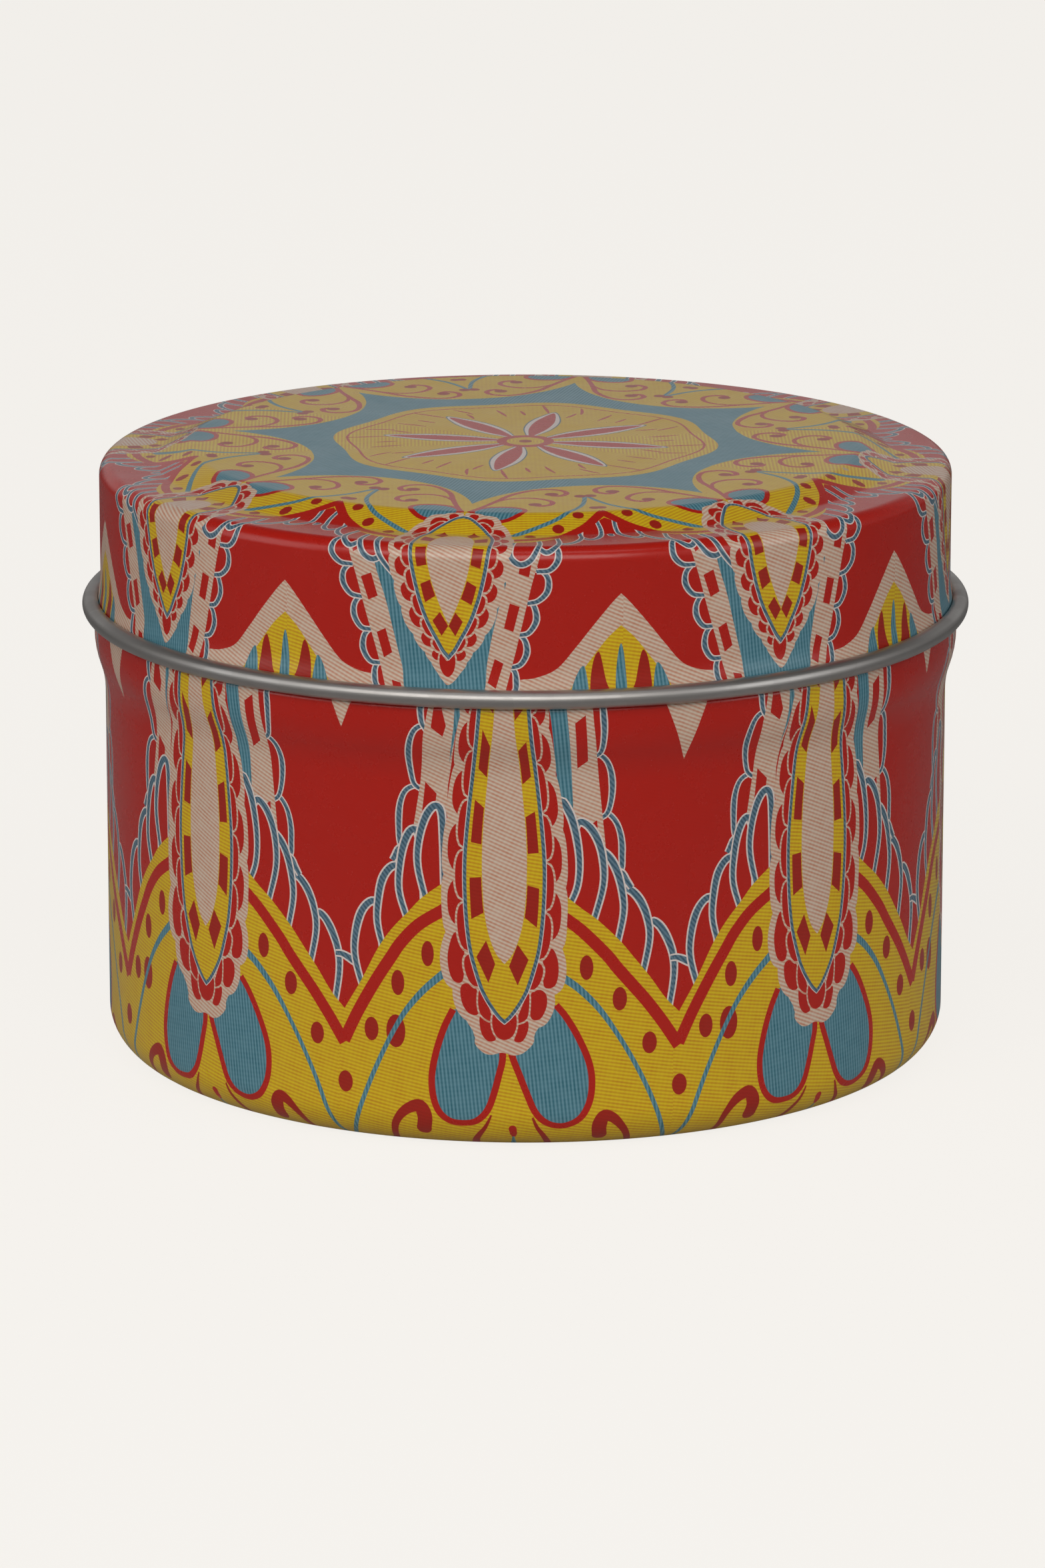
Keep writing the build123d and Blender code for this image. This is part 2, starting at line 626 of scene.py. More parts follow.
@dataclass(frozen=True)
class Medallion:
    """The scaled drop that repeats round the tin, drawn about its own axis."""

    outline: Path
    cream: Path
    inner_cusps: tuple[Sequence[float], Sequence[float]]
    outer_cusps: tuple[Sequence[float], Sequence[float]]
    heights: Path
    inner_lift: Sequence[float]
    outer_lift: Sequence[float]
    border_lift: Sequence[float]
    checks: Sequence[Check]
    diamonds: Sequence[Path]
    tip_petal: Path
    tip_border: Path
    low_petals: Sequence[Path] = ()
    cord: float = 0.3

    def edge(self) -> np.ndarray:
        """The outer edge of the cord on the right-hand side, from the bottom tip up."""
        return smooth(self.outline, steps=8)

    def outside(self, side: int, t: np.ndarray, lift: np.ndarray | float) -> np.ndarray:
        """Points outside the cord's edge.

        Args:
            side: 1 for the right-hand side and -1 for the left.
            t: distances along the edge from the tip.
            lift: how far out from the edge.

        Returns:
            The points.
        """
        path = self.edge()
        length = along(path)
        right = unit_normals(path)
        base = np.stack([np.interp(t, length, c) for c in path.T], axis=1)
        out = np.stack([np.interp(t, length, c) for c in right.T], axis=1)
        moved = base + out * np.reshape(lift, (-1, 1))
        moved[:, 0] = np.maximum(moved[:, 0], 0)
        return moved * [side, 1]

    def along_edge(self, height: float) -> float:
        """Distance from the tip to a height on the edge."""
        path = self.edge()
        return float(np.interp(height, path[:, 1], along(path)))

    def bulge(self, side: int, low: float, high: float, lift: Sequence[float], more: float, inset: float) -> np.ndarray:
        """A scale that stands out from the edge between two heights.

        Args:
            side: 1 for the right-hand side and -1 for the left.
            low: height of its lower end.
            high: height of its upper end.
            lift: how far scales stand out, at each of the medallion's heights.
            more: added to that.
            inset: how much shorter the scale is at both ends.

        Returns:
            Its outline.
        """
        start, end = self.along_edge(low) + inset, self.along_edge(high) - inset
        t = np.linspace(start, end, 17)
        x = np.abs(np.linspace(-1, 1, 17))
        path = self.edge()
        height = np.interp(t, along(path), path[:, 1])
        full = np.interp(height, self.heights, lift) + more
        return np.vstack([
            self.outside(side, t, full * (1 - x ** 2.6) ** 0.5),
            self.outside(side, t[::-1], -0.1),
        ])

    def draw_border(self, art: Artwork) -> None:
        """Lay down the cream border, which follows the outer row of scales."""
        path = self.edge()
        length = along(path)
        for side, cusps in zip((1, -1), self.outer_cusps):
            t = np.linspace(0, length[-1], 180)
            height = np.interp(t, length, path[:, 1])
            lift = np.interp(height, self.heights, self.border_lift)
            phase = np.interp(height, cusps, np.arange(len(cusps))) % 1
            wave = (1 - np.abs(2 * phase - 1) ** 2.6) ** 0.5
            art.area(Ink.CREAM, np.vstack([
                self.outside(side, t, lift * (0.86 + 0.14 * wave)),
                self.outside(side, t[::-1], -0.1),
            ]))
        for petal in self.low_petals:
            art.area(Ink.CREAM, self.grown(petal, 0.68))
        art.leaf(Ink.CREAM, self.tip_border)

    def draw_scales(self, art: Artwork) -> None:
        """Lay down both rows of red scales with cream between them."""
        for side, cusps in zip((1, -1), self.outer_cusps):
            for low, high in zip(cusps, cusps[1:]):
                art.area(Ink.RED, self.bulge(side, low, high, self.outer_lift, 0, 0.08))
        for petal in self.low_petals:
            self.draw_petal(art, petal)
        for side, cusps in zip((1, -1), self.inner_cusps):
            for low, high in zip(cusps, cusps[1:]):
                art.area(Ink.CREAM, self.bulge(side, low, high, self.inner_lift, 0.08, -0.08))
                art.area(Ink.RED, self.bulge(side, low, high, self.inner_lift, -0.1, 0.12))
        self.draw_petal(art, self.tip_petal)

    @staticmethod
    def grown(points: Path, by: float) -> np.ndarray:
        """A closed curve through the points, moved outwards."""
        petal = smooth(points, closed=True)
        outwards = unit_normals(petal, closed=True)
        around = petal - petal.mean(axis=0)
        return petal + outwards * math.copysign(by, float((outwards * around).sum()))

    def draw_petal(self, art: Artwork, points: Path) -> None:
        """Lay down one red petal edged with cream."""
        art.area(Ink.CREAM, self.grown(points, 0.15))
        art.area(Ink.RED, self.grown(points, 0.0))

    def draw_drop(self, art: Artwork) -> None:
        """Lay down the corded yellow drop, its checks and the cream drop inside."""
        edge = self.edge()
        whole = np.vstack([edge, edge[::-1] * [-1, 1]])
        art.area(Ink.WHITE, whole + unit_normals(whole, closed=True) * 0.07)
        art.area(Ink.SLATE, whole)
        right = self.outside(1, along(edge), -self.cord)
        art.area(Ink.YELLOW, np.vstack([right, right[::-1] * [-1, 1]]))
        cream = smooth(self.cream)
        for check in self.checks:
            inside = np.linspace(*check.inner, 6)
            outside = np.linspace(*check.outer, 6)
            near = np.interp(inside, cream[:, 1], cream[:, 0]) + 0.08
            far = np.interp(outside, edge[:, 1], edge[:, 0]) - self.cord - 0.28
            art.area(Ink.DARK_RED, np.vstack([
                np.column_stack([check.side * near, inside]),
                np.column_stack([check.side * far, outside])[::-1],
            ]))
        for diamond in self.diamonds:
            art.area(Ink.DARK_RED, diamond)
        art.area(Ink.CREAM, np.vstack([cream, cream[::-1] * [-1, 1]]))

    def draw(self, art: Artwork) -> None:
        """Lay down the whole medallion."""
        self.draw_border(art)
        self.draw_scales(art)
        self.draw_drop(art)


BODY_MEDALLION = Medallion(
    outline=[(0, 11.7), (0.55, 12.2), (1.15, 13), (1.75, 14), (2.2, 15), (2.75, 16.8), (3.15, 18.5),
             (3.45, 21), (3.6, 24), (3.58, 26.5), (3.4, 29), (3.1, 32), (2.75, 35), (2.4, 38), (2.05, 42.5)],
    cream=[(0, 17.1), (0.7, 18), (1.2, 19.2), (1.6, 20.8), (1.85, 23), (1.95, 26), (1.85, 29),
           (1.6, 32), (1.3, 35), (0.95, 38), (0.6, 42.5)],
    inner_cusps=((14.7, 17.4, 21.8, 26.3, 30.6, 35.2, 39.7, 44.2),
                 (14.9, 18.1, 22.7, 27.4, 31.9, 36.5, 41.0, 45.5)),
    outer_cusps=((18.9, 24.0, 29.0, 33.9, 38.4, 43.2),
                 (20.2, 25.0, 30.0, 34.7, 39.4, 44.0)),
    heights=[11.7, 14, 16.5, 21, 26, 31, 36, 42],
    inner_lift=[0.75, 0.8, 0.85, 0.8, 0.78, 0.75, 0.7, 0.65],
    outer_lift=[1.65, 1.75, 1.7, 1.45, 1.4, 1.45, 1.35, 1.25],
    border_lift=[2.9, 2.75, 2.4, 2.0, 1.9, 1.85, 1.65, 1.5],
    checks=[Check(1, (21.3, 24.2), (20.4, 23.9)), Check(1, (27.0, 30.3), (27.1, 30.8)),
            Check(1, (33.2, 36.4), (33.9, 37.3)), Check(1, (39.2, 42), (40.2, 43.6)),
            Check(-1, (21.7, 24.9), (21.1, 24.8)), Check(-1, (27.8, 31.1), (28.0, 31.8)),
            Check(-1, (33.8, 36.8), (34.6, 38.4)), Check(-1, (39.8, 42.6), (40.8, 44))],
    diamonds=[[(1.15, 18.9), (2.1, 17.5), (1.15, 15.2), (0.4, 16.9)],
              [(-1.6, 19.2), (-0.8, 17.1), (-1.4, 15.4), (-2.45, 17.7)]],
    tip_petal=[(-0.6, 12.3), (0, 11.9), (0.6, 12.3), (1.0, 12.5), (1.05, 11.5), (0.7, 10.6), (0, 10.25),
               (-0.7, 10.6), (-1.05, 11.5), (-1.0, 12.5)],
    low_petals=[
        [(3.4, 17.7), (4.1, 18.5), (4.6, 17.6), (4.7, 16.2), (4.35, 15.1), (3.5, 15.0), (3.35, 16.2)],
        [(-3.65, 15.5), (-4.4, 15.45), (-4.85, 16.4), (-4.95, 18.0), (-4.4, 19.8), (-3.6, 19.5), (-3.5, 17.3)],
        [(2.35, 14.5), (3.1, 14.8), (3.65, 14.3), (3.65, 13.2), (3.1, 12.15), (2.35, 12.2), (2.2, 13.4)],
        [(-3.4, 15.3), (-3.85, 14.8), (-3.7, 13.5), (-3.1, 12.6), (-2.3, 12.55), (-2.25, 13.8), (-2.5, 14.9)],
        [(1.15, 11.7), (1.7, 12.15), (2.1, 11.75), (1.95, 10.8), (1.5, 10.1), (0.85, 10.2), (1.1, 11.0)],
        [(-1.3, 11.9), (-2.1, 12.4), (-2.15, 11.5), (-1.9, 10.6), (-1.35, 10.1), (-0.75, 10.3), (-1.1, 11.1)],
        [(1.25, 12.6), (1.6, 13.5), (2.1, 14.5), (2.15, 13.3), (1.95, 12.2), (1.25, 11.8), (1.1, 12.2)],
        [(-1.25, 12.9), (-1.6, 13.9), (-2.15, 14.8), (-2.3, 13.6), (-2.05, 12.5), (-1.3, 11.95), (-1.1, 12.3)],
    ],
    tip_border=[(-2.6, 10.2), (-1.9, 9.1), (-1.1, 8.9), (-0.2, 9.1), (0.8, 8.85), (1.8, 9.2), (2.6, 10.4),
                (1.4, 12.2), (-1.4, 12.2)],
)

LID_MEDALLION = Medallion(
    outline=[(0, 44.2), (0.65, 45), (1.2, 46), (1.75, 47), (2.2, 48), (2.55, 49), (2.85, 50), (3.3, 52),
             (3.6, 54), (3.7, 55.5), (3.65, 57), (3.3, 58.3), (2.6, 59.4), (1.7, 60.4), (0.8, 61.15), (0, 61.4)],
    cream=[(0, 47.3), (0.6, 48.6), (1.1, 49.9), (1.55, 51.3), (1.9, 53), (2.0, 54.5), (1.9, 56),
           (1.5, 57.2), (0.8, 57.8), (0, 58)],
    inner_cusps=((44.9, 46.3, 48.2, 50.1, 52.2, 54.4, 56.5, 58.7, 60.4),
                 (44.9, 46.1, 47.9, 50.0, 52.2, 54.5, 56.6, 58.7, 60.4)),
    outer_cusps=((44.4, 45.5, 47.1, 49.3, 51.4, 53.5, 55.5, 57.3, 59.2, 60.7, 61.3),
                 (44.4, 45.4, 47.0, 49.2, 51.3, 53.5, 55.5, 57.3, 59.2, 60.7, 61.3)),
    heights=[44.2, 46, 48, 50, 52, 55, 58, 60, 61.4],
    inner_lift=[0.42, 0.52, 0.6, 0.66, 0.72, 0.75, 0.75, 0.65, 0.3],
    outer_lift=[0.85, 1.08, 1.18, 1.27, 1.38, 1.42, 1.42, 1.35, 0.5],
    border_lift=[1.25, 1.55, 1.78, 1.82, 1.88, 1.9, 1.9, 2.0, 0.6],
    checks=[Check(1, (49.6, 51.2), (49.1, 50.7)), Check(1, (52.6, 54.2), (52.3, 54.1)),
            Check(1, (55.6, 56.7), (55.9, 57.3)),
            Check(-1, (49.8, 51.2), (49.2, 50.8)), Check(-1, (52.5, 54.2), (52.3, 54.1)),
            Check(-1, (55.6, 56.7), (55.9, 57.3))],
    diamonds=[[(0.6, 48.4), (1.25, 47.6), (0.6, 46.3), (0.02, 47.2)],
              [(-0.75, 48.4), (-1.4, 47.6), (-0.6, 46.3), (-0.02, 47.2)],
              [(1.5, 58.9), (2.3, 58.0), (1.4, 57.4), (0.9, 58.1)],
              [(-1.5, 58.9), (-2.3, 58.0), (-1.4, 57.4), (-0.9, 58.1)]],
    tip_petal=[(-0.4, 44.4), (-0.1, 44.1), (0.25, 44.5), (0.5, 44.7), (0.6, 43.9), (0.4, 43.1), (-0.05, 42.7),
               (-0.55, 43.1), (-0.8, 43.9), (-0.7, 44.7)],
    tip_border=[(-1.5, 44.0), (-0.95, 43.0), (-0.5, 42.4), (-0.05, 42.0), (0.45, 42.3), (1.0, 43.0), (1.6, 44.0),
                (0.8, 45), (-0.8, 45)],
)


@dataclass
class BodyPrint:
    """The artwork round the wall of the body: medallions over a scalloped border."""

    top: float = 43.0
    foot: float = -4.5
    half_pitch: float = 15.0

    def draw(self, art: Artwork) -> None:
        """Lay down everything on the wall."""
        self.draw_spikes(art)
        self.draw_clusters(art)
        self.draw_fringe(art)
        self.draw_border(art)
        self.draw_hearts(art)
        self.draw_scrolls(art)
        BODY_MEDALLION.draw(art)

    def draw_spikes(self, art: Artwork) -> None:
        """Lay down the cream spikes that hang from the lid between medallions."""
        long = [(3.2, self.top), (2.2, 41.0), (1.7, 39.8), (0.77, 37.3), (0, 34.9)]
        short = [(2.4, self.top), (1.3, 41.0), (0.76, 39.8), (0.3, 38.6), (0, 37.85)]
        for kind, side in enumerate((long, short)):
            curve = smooth(side)
            outline = np.vstack([curve, curve[::-1] * [-1, 1]]) + [self.half_pitch + 0.77, 0]
            art.shapes.append(Shape(Ink.CREAM, outline, Space.WRAP, kind))

    def draw_clusters(self, art: Artwork) -> None:
        """Lay down the ribbons, teal wedges and scallops beside the upper medallion."""
        art.corded([(7.9, 25.2), (10.0, 25.1), (10.25, 26.8), (10.15, 28.4), (9.7, 29.7), (8.9, 30.5), (8.2, 30.2)], 0.78)
        art.corded([(8.3, 30.0), (9.0, 30.6), (9.35, 32.2), (9.3, 33.9), (8.85, 35.2), (8.1, 35.9), (7.6, 35.6)], 0.78)
        art.corded([(7.6, 35.6), (8.3, 36.2), (8.5, 38), (8.4, 40), (8.2, 43)], 0.78)
        art.corded([(-8.0, 27.3), (-9.1, 27.4), (-9.3, 29), (-9.2, 31), (-8.7, 32.3), (-7.8, 32.8), (-7.3, 32.5)], 0.78)
        art.corded([(-7.5, 32.6), (-8.0, 33.2), (-8.3, 35.2), (-8.15, 36.8), (-7.7, 38), (-7.0, 38.5), (-6.4, 38.2)], 0.78)
        art.corded([(-6.6, 38.1), (-7.0, 38.9), (-7.1, 40.5), (-6.9, 43)], 0.78)
        art.area(Ink.CREAM, [(3.4, self.top), (7.3, self.top), (7.6, 39), (8.1, 34.5), (8.5, 30.5), (8.9, 26.6),
                             (5.5, 26.6), (4.9, 33)])
        art.area(Ink.CREAM, [(-3.2, self.top), (-5.9, self.top), (-6.9, 37.6), (-7.35, 33), (-8.1, 28.4),
                             (-5.2, 27), (-4.9, 33)])
        art.area(Ink.TEAL, smooth([(3.5, 43), (4.05, 38.5), (4.45, 34.5), (4.9, 31.5), (5.9, 29.4), (5.85, 33.5),
                                   (5.55, 37.5), (5.0, 43)]))
        art.area(Ink.TEAL, [(-4.0, self.top), (-4.25, 38.5), (-4.75, 35), (-4.4, 36.5), (-3.7, 39.5), (-3.2, self.top)])
        for corners in ([(6.0, 38.9), (6.9, 39.6), (7.2, 35.3), (6.3, 34.6)],
                        [(7.15, 29.3), (8.05, 29.9), (8.25, 26.5), (7.4, 26.5)],
                        [(5.5, 43), (6.3, 43), (6.6, 41.4), (5.7, 40.9)],
                        [(-6.9, 33.2), (-5.9, 32.2), (-6.3, 28.9), (-7.3, 29.6)],
                        [(-6.2, 38.4), (-5.2, 37.6), (-4.9, 38.6), (-5.7, 42)]):
            art.area(Ink.RED, corners)
        art.line(Ink.SLATE, [(-5.5, 30.4), (-5.6, 28), (-5.6, 25)], (0.1, 0.3, 0.2))

    def draw_fringe(self, art: Artwork) -> None:
        """Lay down the tall overlapping arches that rise from the scalloped border."""
        right = [
            [(11.7, 15.4), (12.2, 18.4), (12.8, 20.4), (13.6, 20.2), (14.4, 18.9), (14.95, 17.2), (15.0, 15.3), (14.55, 12.4)],
            [(9.4, 18.5), (9.7, 21.5), (10.2, 23.5), (11.0, 23.5), (11.9, 22.5), (12.55, 20.9), (12.75, 18.9), (12.1, 15.6)],
            [(9.0, 25.6), (10.1, 25.1), (10.7, 24.3), (11.1, 23.7)],
            [(7.2, 21.5), (7.6, 24.5), (8.2, 26.9), (9.0, 26.7), (9.8, 25.3), (10.3, 23.3), (10.4, 21.4), (9.8, 18.4)],
            [(5.4, 23.5), (5.7, 27.5), (6.3, 29.6), (7.1, 29.6), (8.0, 28.4), (8.55, 26.5), (8.6, 24.0), (7.7, 20.6)],
            [(4.4, 24.0), (4.5, 28.5), (4.8, 31.6), (5.5, 30.9), (6.1, 29.2), (6.5, 26.5), (6.35, 24.1), (5.6, 22.2)],
        ]
        left = [
            [(-12.3, 15.9), (-14.4, 17.0), (-15.3, 17.1)],
            [(-10.8, 17.5), (-11.1, 20.2), (-11.4, 22.0), (-12.1, 22.0), (-12.9, 20.9), (-13.4, 18.9), (-13.4, 16.8), (-12.5, 13.6)],
            [(-8.6, 20.5), (-8.9, 23.2), (-9.3, 25.3), (-10.0, 25.4), (-10.8, 24.3), (-11.2, 22.5), (-11.3, 20.2), (-10.6, 17.4)],
            [(-8.5, 27.5), (-9.2, 27.1), (-9.9, 26.0)],
            [(-7.1, 22.5), (-7.2, 26), (-7.6, 28.6), (-8.2, 28.8), (-8.8, 27.7), (-9.2, 25.8), (-9.3, 23.3), (-8.5, 20.6)],
            [(-5.3, 24), (-5.35, 28), (-5.5, 30.6), (-6.1, 31.1), (-6.9, 30.1), (-7.5, 28), (-7.6, 25.6), (-6.8, 22.2)],
        ]
        for arch in right + left:
            art.corded(arch)

    def draw_border(self, art: Artwork) -> None:
        """Lay down the yellow scalloped border with its red band, dots and teal line."""
        edge = smooth([(-5.0, 24.5), (-7.15, 22.9), (-8.45, 21.5), (-10, 19.8), (-11.3, 17.9), (-12.8, 15.0), (-14.42, 12.25)])
        other = smooth([(5.0, 23.5), (6.76, 22.0), (8.07, 21.0), (10.0, 19.1), (11.3, 17.5), (12.8, 15.6), (14.2, 13.6), (15.56, 12.15)])
        art.area(Ink.YELLOW, np.vstack([edge[::-1], other, [(15.6, self.foot), (-14.5, self.foot)]]))
        art.line(Ink.RED, [(-5.2, 21.9), (-7.5, 20.4), (-9.1, 18.7), (-10.1, 17.2), (-11.5, 15.0), (-13.2, 12.0), (-14.5, 9.3)], 1.08)
        art.line(Ink.RED, [(5.0, 21.4), (6.76, 20.0), (8.9, 17.8), (10.0, 16.4), (12.2, 13.8), (13.2, 12.5), (14.2, 11.1), (15.5, 9.1)], 1.08)
        for x, y, w, h in ((-6.75, 17.8, 0.56, 1.15), (-9.45, 15.0, 0.6, 1.15), (-9.65, 10.6, 0.88, 1.5),
                           (-11.9, 10.6, 0.66, 1.08), (-14.4, 5.55, 0.7, 0.97), (7.15, 16.7, 0.6, 1.12),
                           (10.1, 13.75, 0.65, 1.07), (12.8, 9.6, 0.67, 1.0)):
            art.dot(Ink.DARK_RED, x, y, w, h)
        art.line(Ink.TEAL, [(-5.0, 16.4), (-7, 14.6), (-8.6, 12.7), (-9.7, 10.9), (-10.8, 8.7), (-12, 6), (-13.1, 3.1),
                            (-14, 0.5), (-15.1, -3)], (0.7, 0.42, 0.42, 0.4))
        art.line(Ink.TEAL, [(4.9, 16.0), (6.5, 14.8), (8.3, 12.9), (10, 10.4), (11.5, 7.8), (12.9, 4.9), (14, 2),
                            (14.8, -0.8), (15.0, -3)], (0.7, 0.42, 0.42, 0.4))

    def draw_hearts(self, art: Artwork) -> None:
        """Lay down the pair of teal drops under the medallion, with their tails."""
        left = [(-4.5, 12.9), (-5.3, 11.2), (-6.0, 9.0), (-6.4, 6.8), (-6.3, 5.0), (-5.8, 3.6), (-4.85, 2.75),
                (-3.7, 2.55), (-2.5, 2.8), (-1.55, 3.75), (-1.0, 5.1), (-0.5, 7), (-0.15, 8.8), (-0.5, 11), (-2, 13)]
        right = [(4.5, 13.4), (5.4, 12.25), (6.45, 10.4), (7.35, 8.25), (7.65, 6.45), (7.45, 4.6), (6.7, 3.15),
                 (5.6, 2.45), (4.55, 2.35), (3.5, 2.8), (2.65, 3.75), (2.0, 5.25), (1.3, 7.1), (0.65, 8.9), (0.6, 10.5), (2, 13)]
        for heart in (left, right):
            rim = smooth(heart)
            art.area(Ink.TEAL, rim)
            art.band(Ink.RED, rim, 0.6)
        art.line(Ink.DARK_RED, [(-1.15, 3.4), (-1.7, 2.2), (-2.3, 1.2), (-2.65, 0.2), (-2.7, -1.5), (-2.6, -3)], (0.15, 0.5, 0.8, 0.9))
        art.line(Ink.DARK_RED, [(2.45, 3.2), (2.85, 2.2), (3.4, 1.2), (3.8, 0), (3.9, -1.5), (3.85, -3)], (0.2, 0.5, 0.7, 0.8))
        art.line(Ink.TEAL, [(0.75, 1.2), (0.75, -0.5), (0.7, -3)], (0.15, 0.6, 0.8))
        art.dot(Ink.RED, 0.7, 2.0, 0.36, 0.42)
        art.line(Ink.RED, [(0.72, 2.0), (0.8, 1.0)], (0.6, 0.7, 0.3))

    def draw_scrolls(self, art: Artwork) -> None:
        """Lay down the hooked scrolls near the foot."""
        left = [(-7.2, 1.8), (-7.05, 3.0), (-7.5, 3.95), (-8.4, 3.75), (-9.2, 3.1), (-9.8, 2.1), (-10.05, 0.9),
                (-10.25, -0.4), (-10.9, -1.6), (-11.9, -3)]
        right = [(8.45, 1.1), (8.35, 2.2), (8.7, 3.15), (9.4, 3.05), (10.1, 2.4), (10.75, 1.4), (11.15, 0.2),
                 (11.4, -1), (11.9, -3)]
        for hook in (left, right):
            art.line(Ink.DARK_RED, hook, (1.3, 1.35, 1.0, 0.75, 0.62, 0.6, 0.62, 0.7))
            x, y = hook[0]
            art.dot(Ink.DARK_RED, x, y, 0.68, 0.75)


@dataclass
class LidPrint:
    """The artwork of the lid: skirt and ledge drawn by height, panel in plan."""

    foot: float = 40.0
    half_pitch: float = 15.12

    def draw(self, art: Artwork) -> None:
        """Lay down everything on the lid."""
        self.draw_ogee(art)
        self.draw_ribbons(art)
        self.draw_fringe(art)
        self.draw_ledge(art)
        PanelPrint().draw(art)
        LID_MEDALLION.draw(art)

    def draw_ogee(self, art: Artwork) -> None:
        """Lay down the cream arches between the medallions and what they frame."""
        x0 = self.half_pitch - 0.2
        outer = smooth([(-9.3, 41.5), (-8.9, 42.5), (-7.4, 42.75), (-5.6, 43.5), (-4.0, 45.3), (-2.4, 47.3), (-0.8, 49.2), (0, 50.0)])
        inner = smooth([(-4.6, 41.5), (-3.6, 43.0), (-2.4, 44.6), (-1.2, 46.1), (0, 47.2)])
        for ink, half in ((Ink.CREAM, outer), (Ink.YELLOW, inner)):
            art.area(ink, np.vstack([half, half[::-1] * [-1, 1]]) + [x0, 0])
        art.leaf(Ink.DARK_RED, [(x0 - 1.3, 42.3), (x0 - 1.9, 44.9), (x0 - 2.5, 43.8), (x0 - 2.6, 41), (x0 - 0.9, 41)])
        art.leaf(Ink.DARK_RED, [(x0 + 1.3, 42.3), (x0 + 1.9, 44.9), (x0 + 2.5, 43.8), (x0 + 2.6, 41), (x0 + 0.9, 41)])
        for side in (-1, 1):
            art.leaf(Ink.TEAL, [(x0 + side * 3.2, 43.7), (x0 + side * 4.1, 42.4), (x0 + side * 4.4, 40.5), (x0 + side * 2.9, 40.5)])
        art.leaf(Ink.TEAL, [(x0, 45.6), (x0 + 0.35, 44.0), (x0 + 0.45, 41), (x0 - 0.45, 41), (x0 - 0.35, 44.0)])

    def draw_ribbons(self, art: Artwork) -> None:
        """Lay down the leaning ribbons, the teal wedges and the scallops beside them."""
        for scallop in (
            [(4.8, 41), (5.75, 41.6), (5.85, 42.6), (5.65, 43.4), (4.9, 43.7)],
            [(5.2, 43.6), (6.2, 43.9), (6.75, 44.9), (6.65, 45.9), (6.2, 46.5), (5.6, 46.7)],
            [(6.0, 46.5), (6.9, 46.7), (7.55, 47.7), (7.5, 48.7), (7.1, 49.4), (6.3, 49.6)],
            [(6.8, 49.3), (7.7, 49.5), (8.5, 50.3), (8.6, 51.4), (8.1, 52.1), (7.3, 52.3)],
            [(7.6, 52.1), (8.7, 52.2), (9.4, 53.0), (9.45, 54.0), (9.0, 54.9), (8.3, 55.2)],
            [(-5.3, 41), (-6.35, 41.6), (-6.6, 42.7), (-6.4, 43.5), (-5.8, 43.9)],
            [(-5.9, 43.6), (-7.0, 43.7), (-7.65, 44.7), (-7.6, 45.8), (-7.1, 46.5), (-6.4, 46.8)],
            [(-6.8, 46.5), (-7.8, 46.6), (-8.45, 47.5), (-8.5, 48.5), (-8.0, 49.3), (-7.3, 49.5)],
            [(-7.7, 49.3), (-8.8, 49.5), (-9.5, 50.4), (-9.5, 51.4), (-8.9, 52.1), (-8.2, 52.3)],
            [(-8.6, 52.1), (-9.8, 52.2), (-10.6, 53.0), (-10.6, 54.0), (-10.1, 54.9), (-9.3, 55.3)],
        ):
            art.corded(scallop, 0.75)
        art.area(Ink.CREAM, [(8.5, 55.5), (8.0, 53.8), (7.2, 51), (6.5, 48), (5.8, 45), (4.8, 41), (-0.5, 41),
                             (1.8, 44.5), (3.6, 50), (4.3, 55.5)])
        art.area(Ink.CREAM, [(-9.6, 55.5), (-9.2, 54), (-8.3, 51.2), (-7.4, 48), (-6.5, 45), (-5.4, 41), (0.5, 41),
                             (-1.8, 44.5), (-3.6, 50), (-4.3, 55.5)])
        art.area(Ink.TEAL, smooth([(2.8, 41), (3.35, 44), (3.8, 46.5), (4.4, 49), (4.95, 51.2), (3.3, 49.3), (2.2, 46.5),
                                   (1.2, 44.2), (0.2, 42.6), (-0.5, 41)], closed=True))
        art.area(Ink.TEAL, smooth([(-3.4, 41), (-4.1, 43.5), (-4.8, 46.2), (-5.5, 49), (-6.6, 53), (-4.4, 52), (-3.5, 49.6),
                                   (-2.3, 46.4), (-1.1, 44), (-0.2, 42.6), (0.5, 41)], closed=True))
        for corners in ([(4.0, 44.4), (4.75, 44.0), (4.1, 41.8), (3.4, 42.3)],
                        [(5.3, 49.3), (6.15, 49.0), (5.6, 46.8), (4.8, 47.1)],
                        [(6.4, 53.9), (7.3, 53.6), (6.95, 51.6), (6.05, 51.9)],
                        [(-5.0, 42.2), (-4.2, 42.0), (-3.9, 41), (-4.7, 41)],
                        [(-6.4, 46.3), (-5.6, 46.7), (-5.0, 44.6), (-5.75, 44.1)],
                        [(-7.85, 51.1), (-6.9, 51.5), (-6.3, 49.5), (-7.15, 49.1)],
                        [(-9.0, 54.6), (-8.3, 55), (-8.0, 53.6), (-8.6, 53.2)]):
            art.area(Ink.RED, corners)

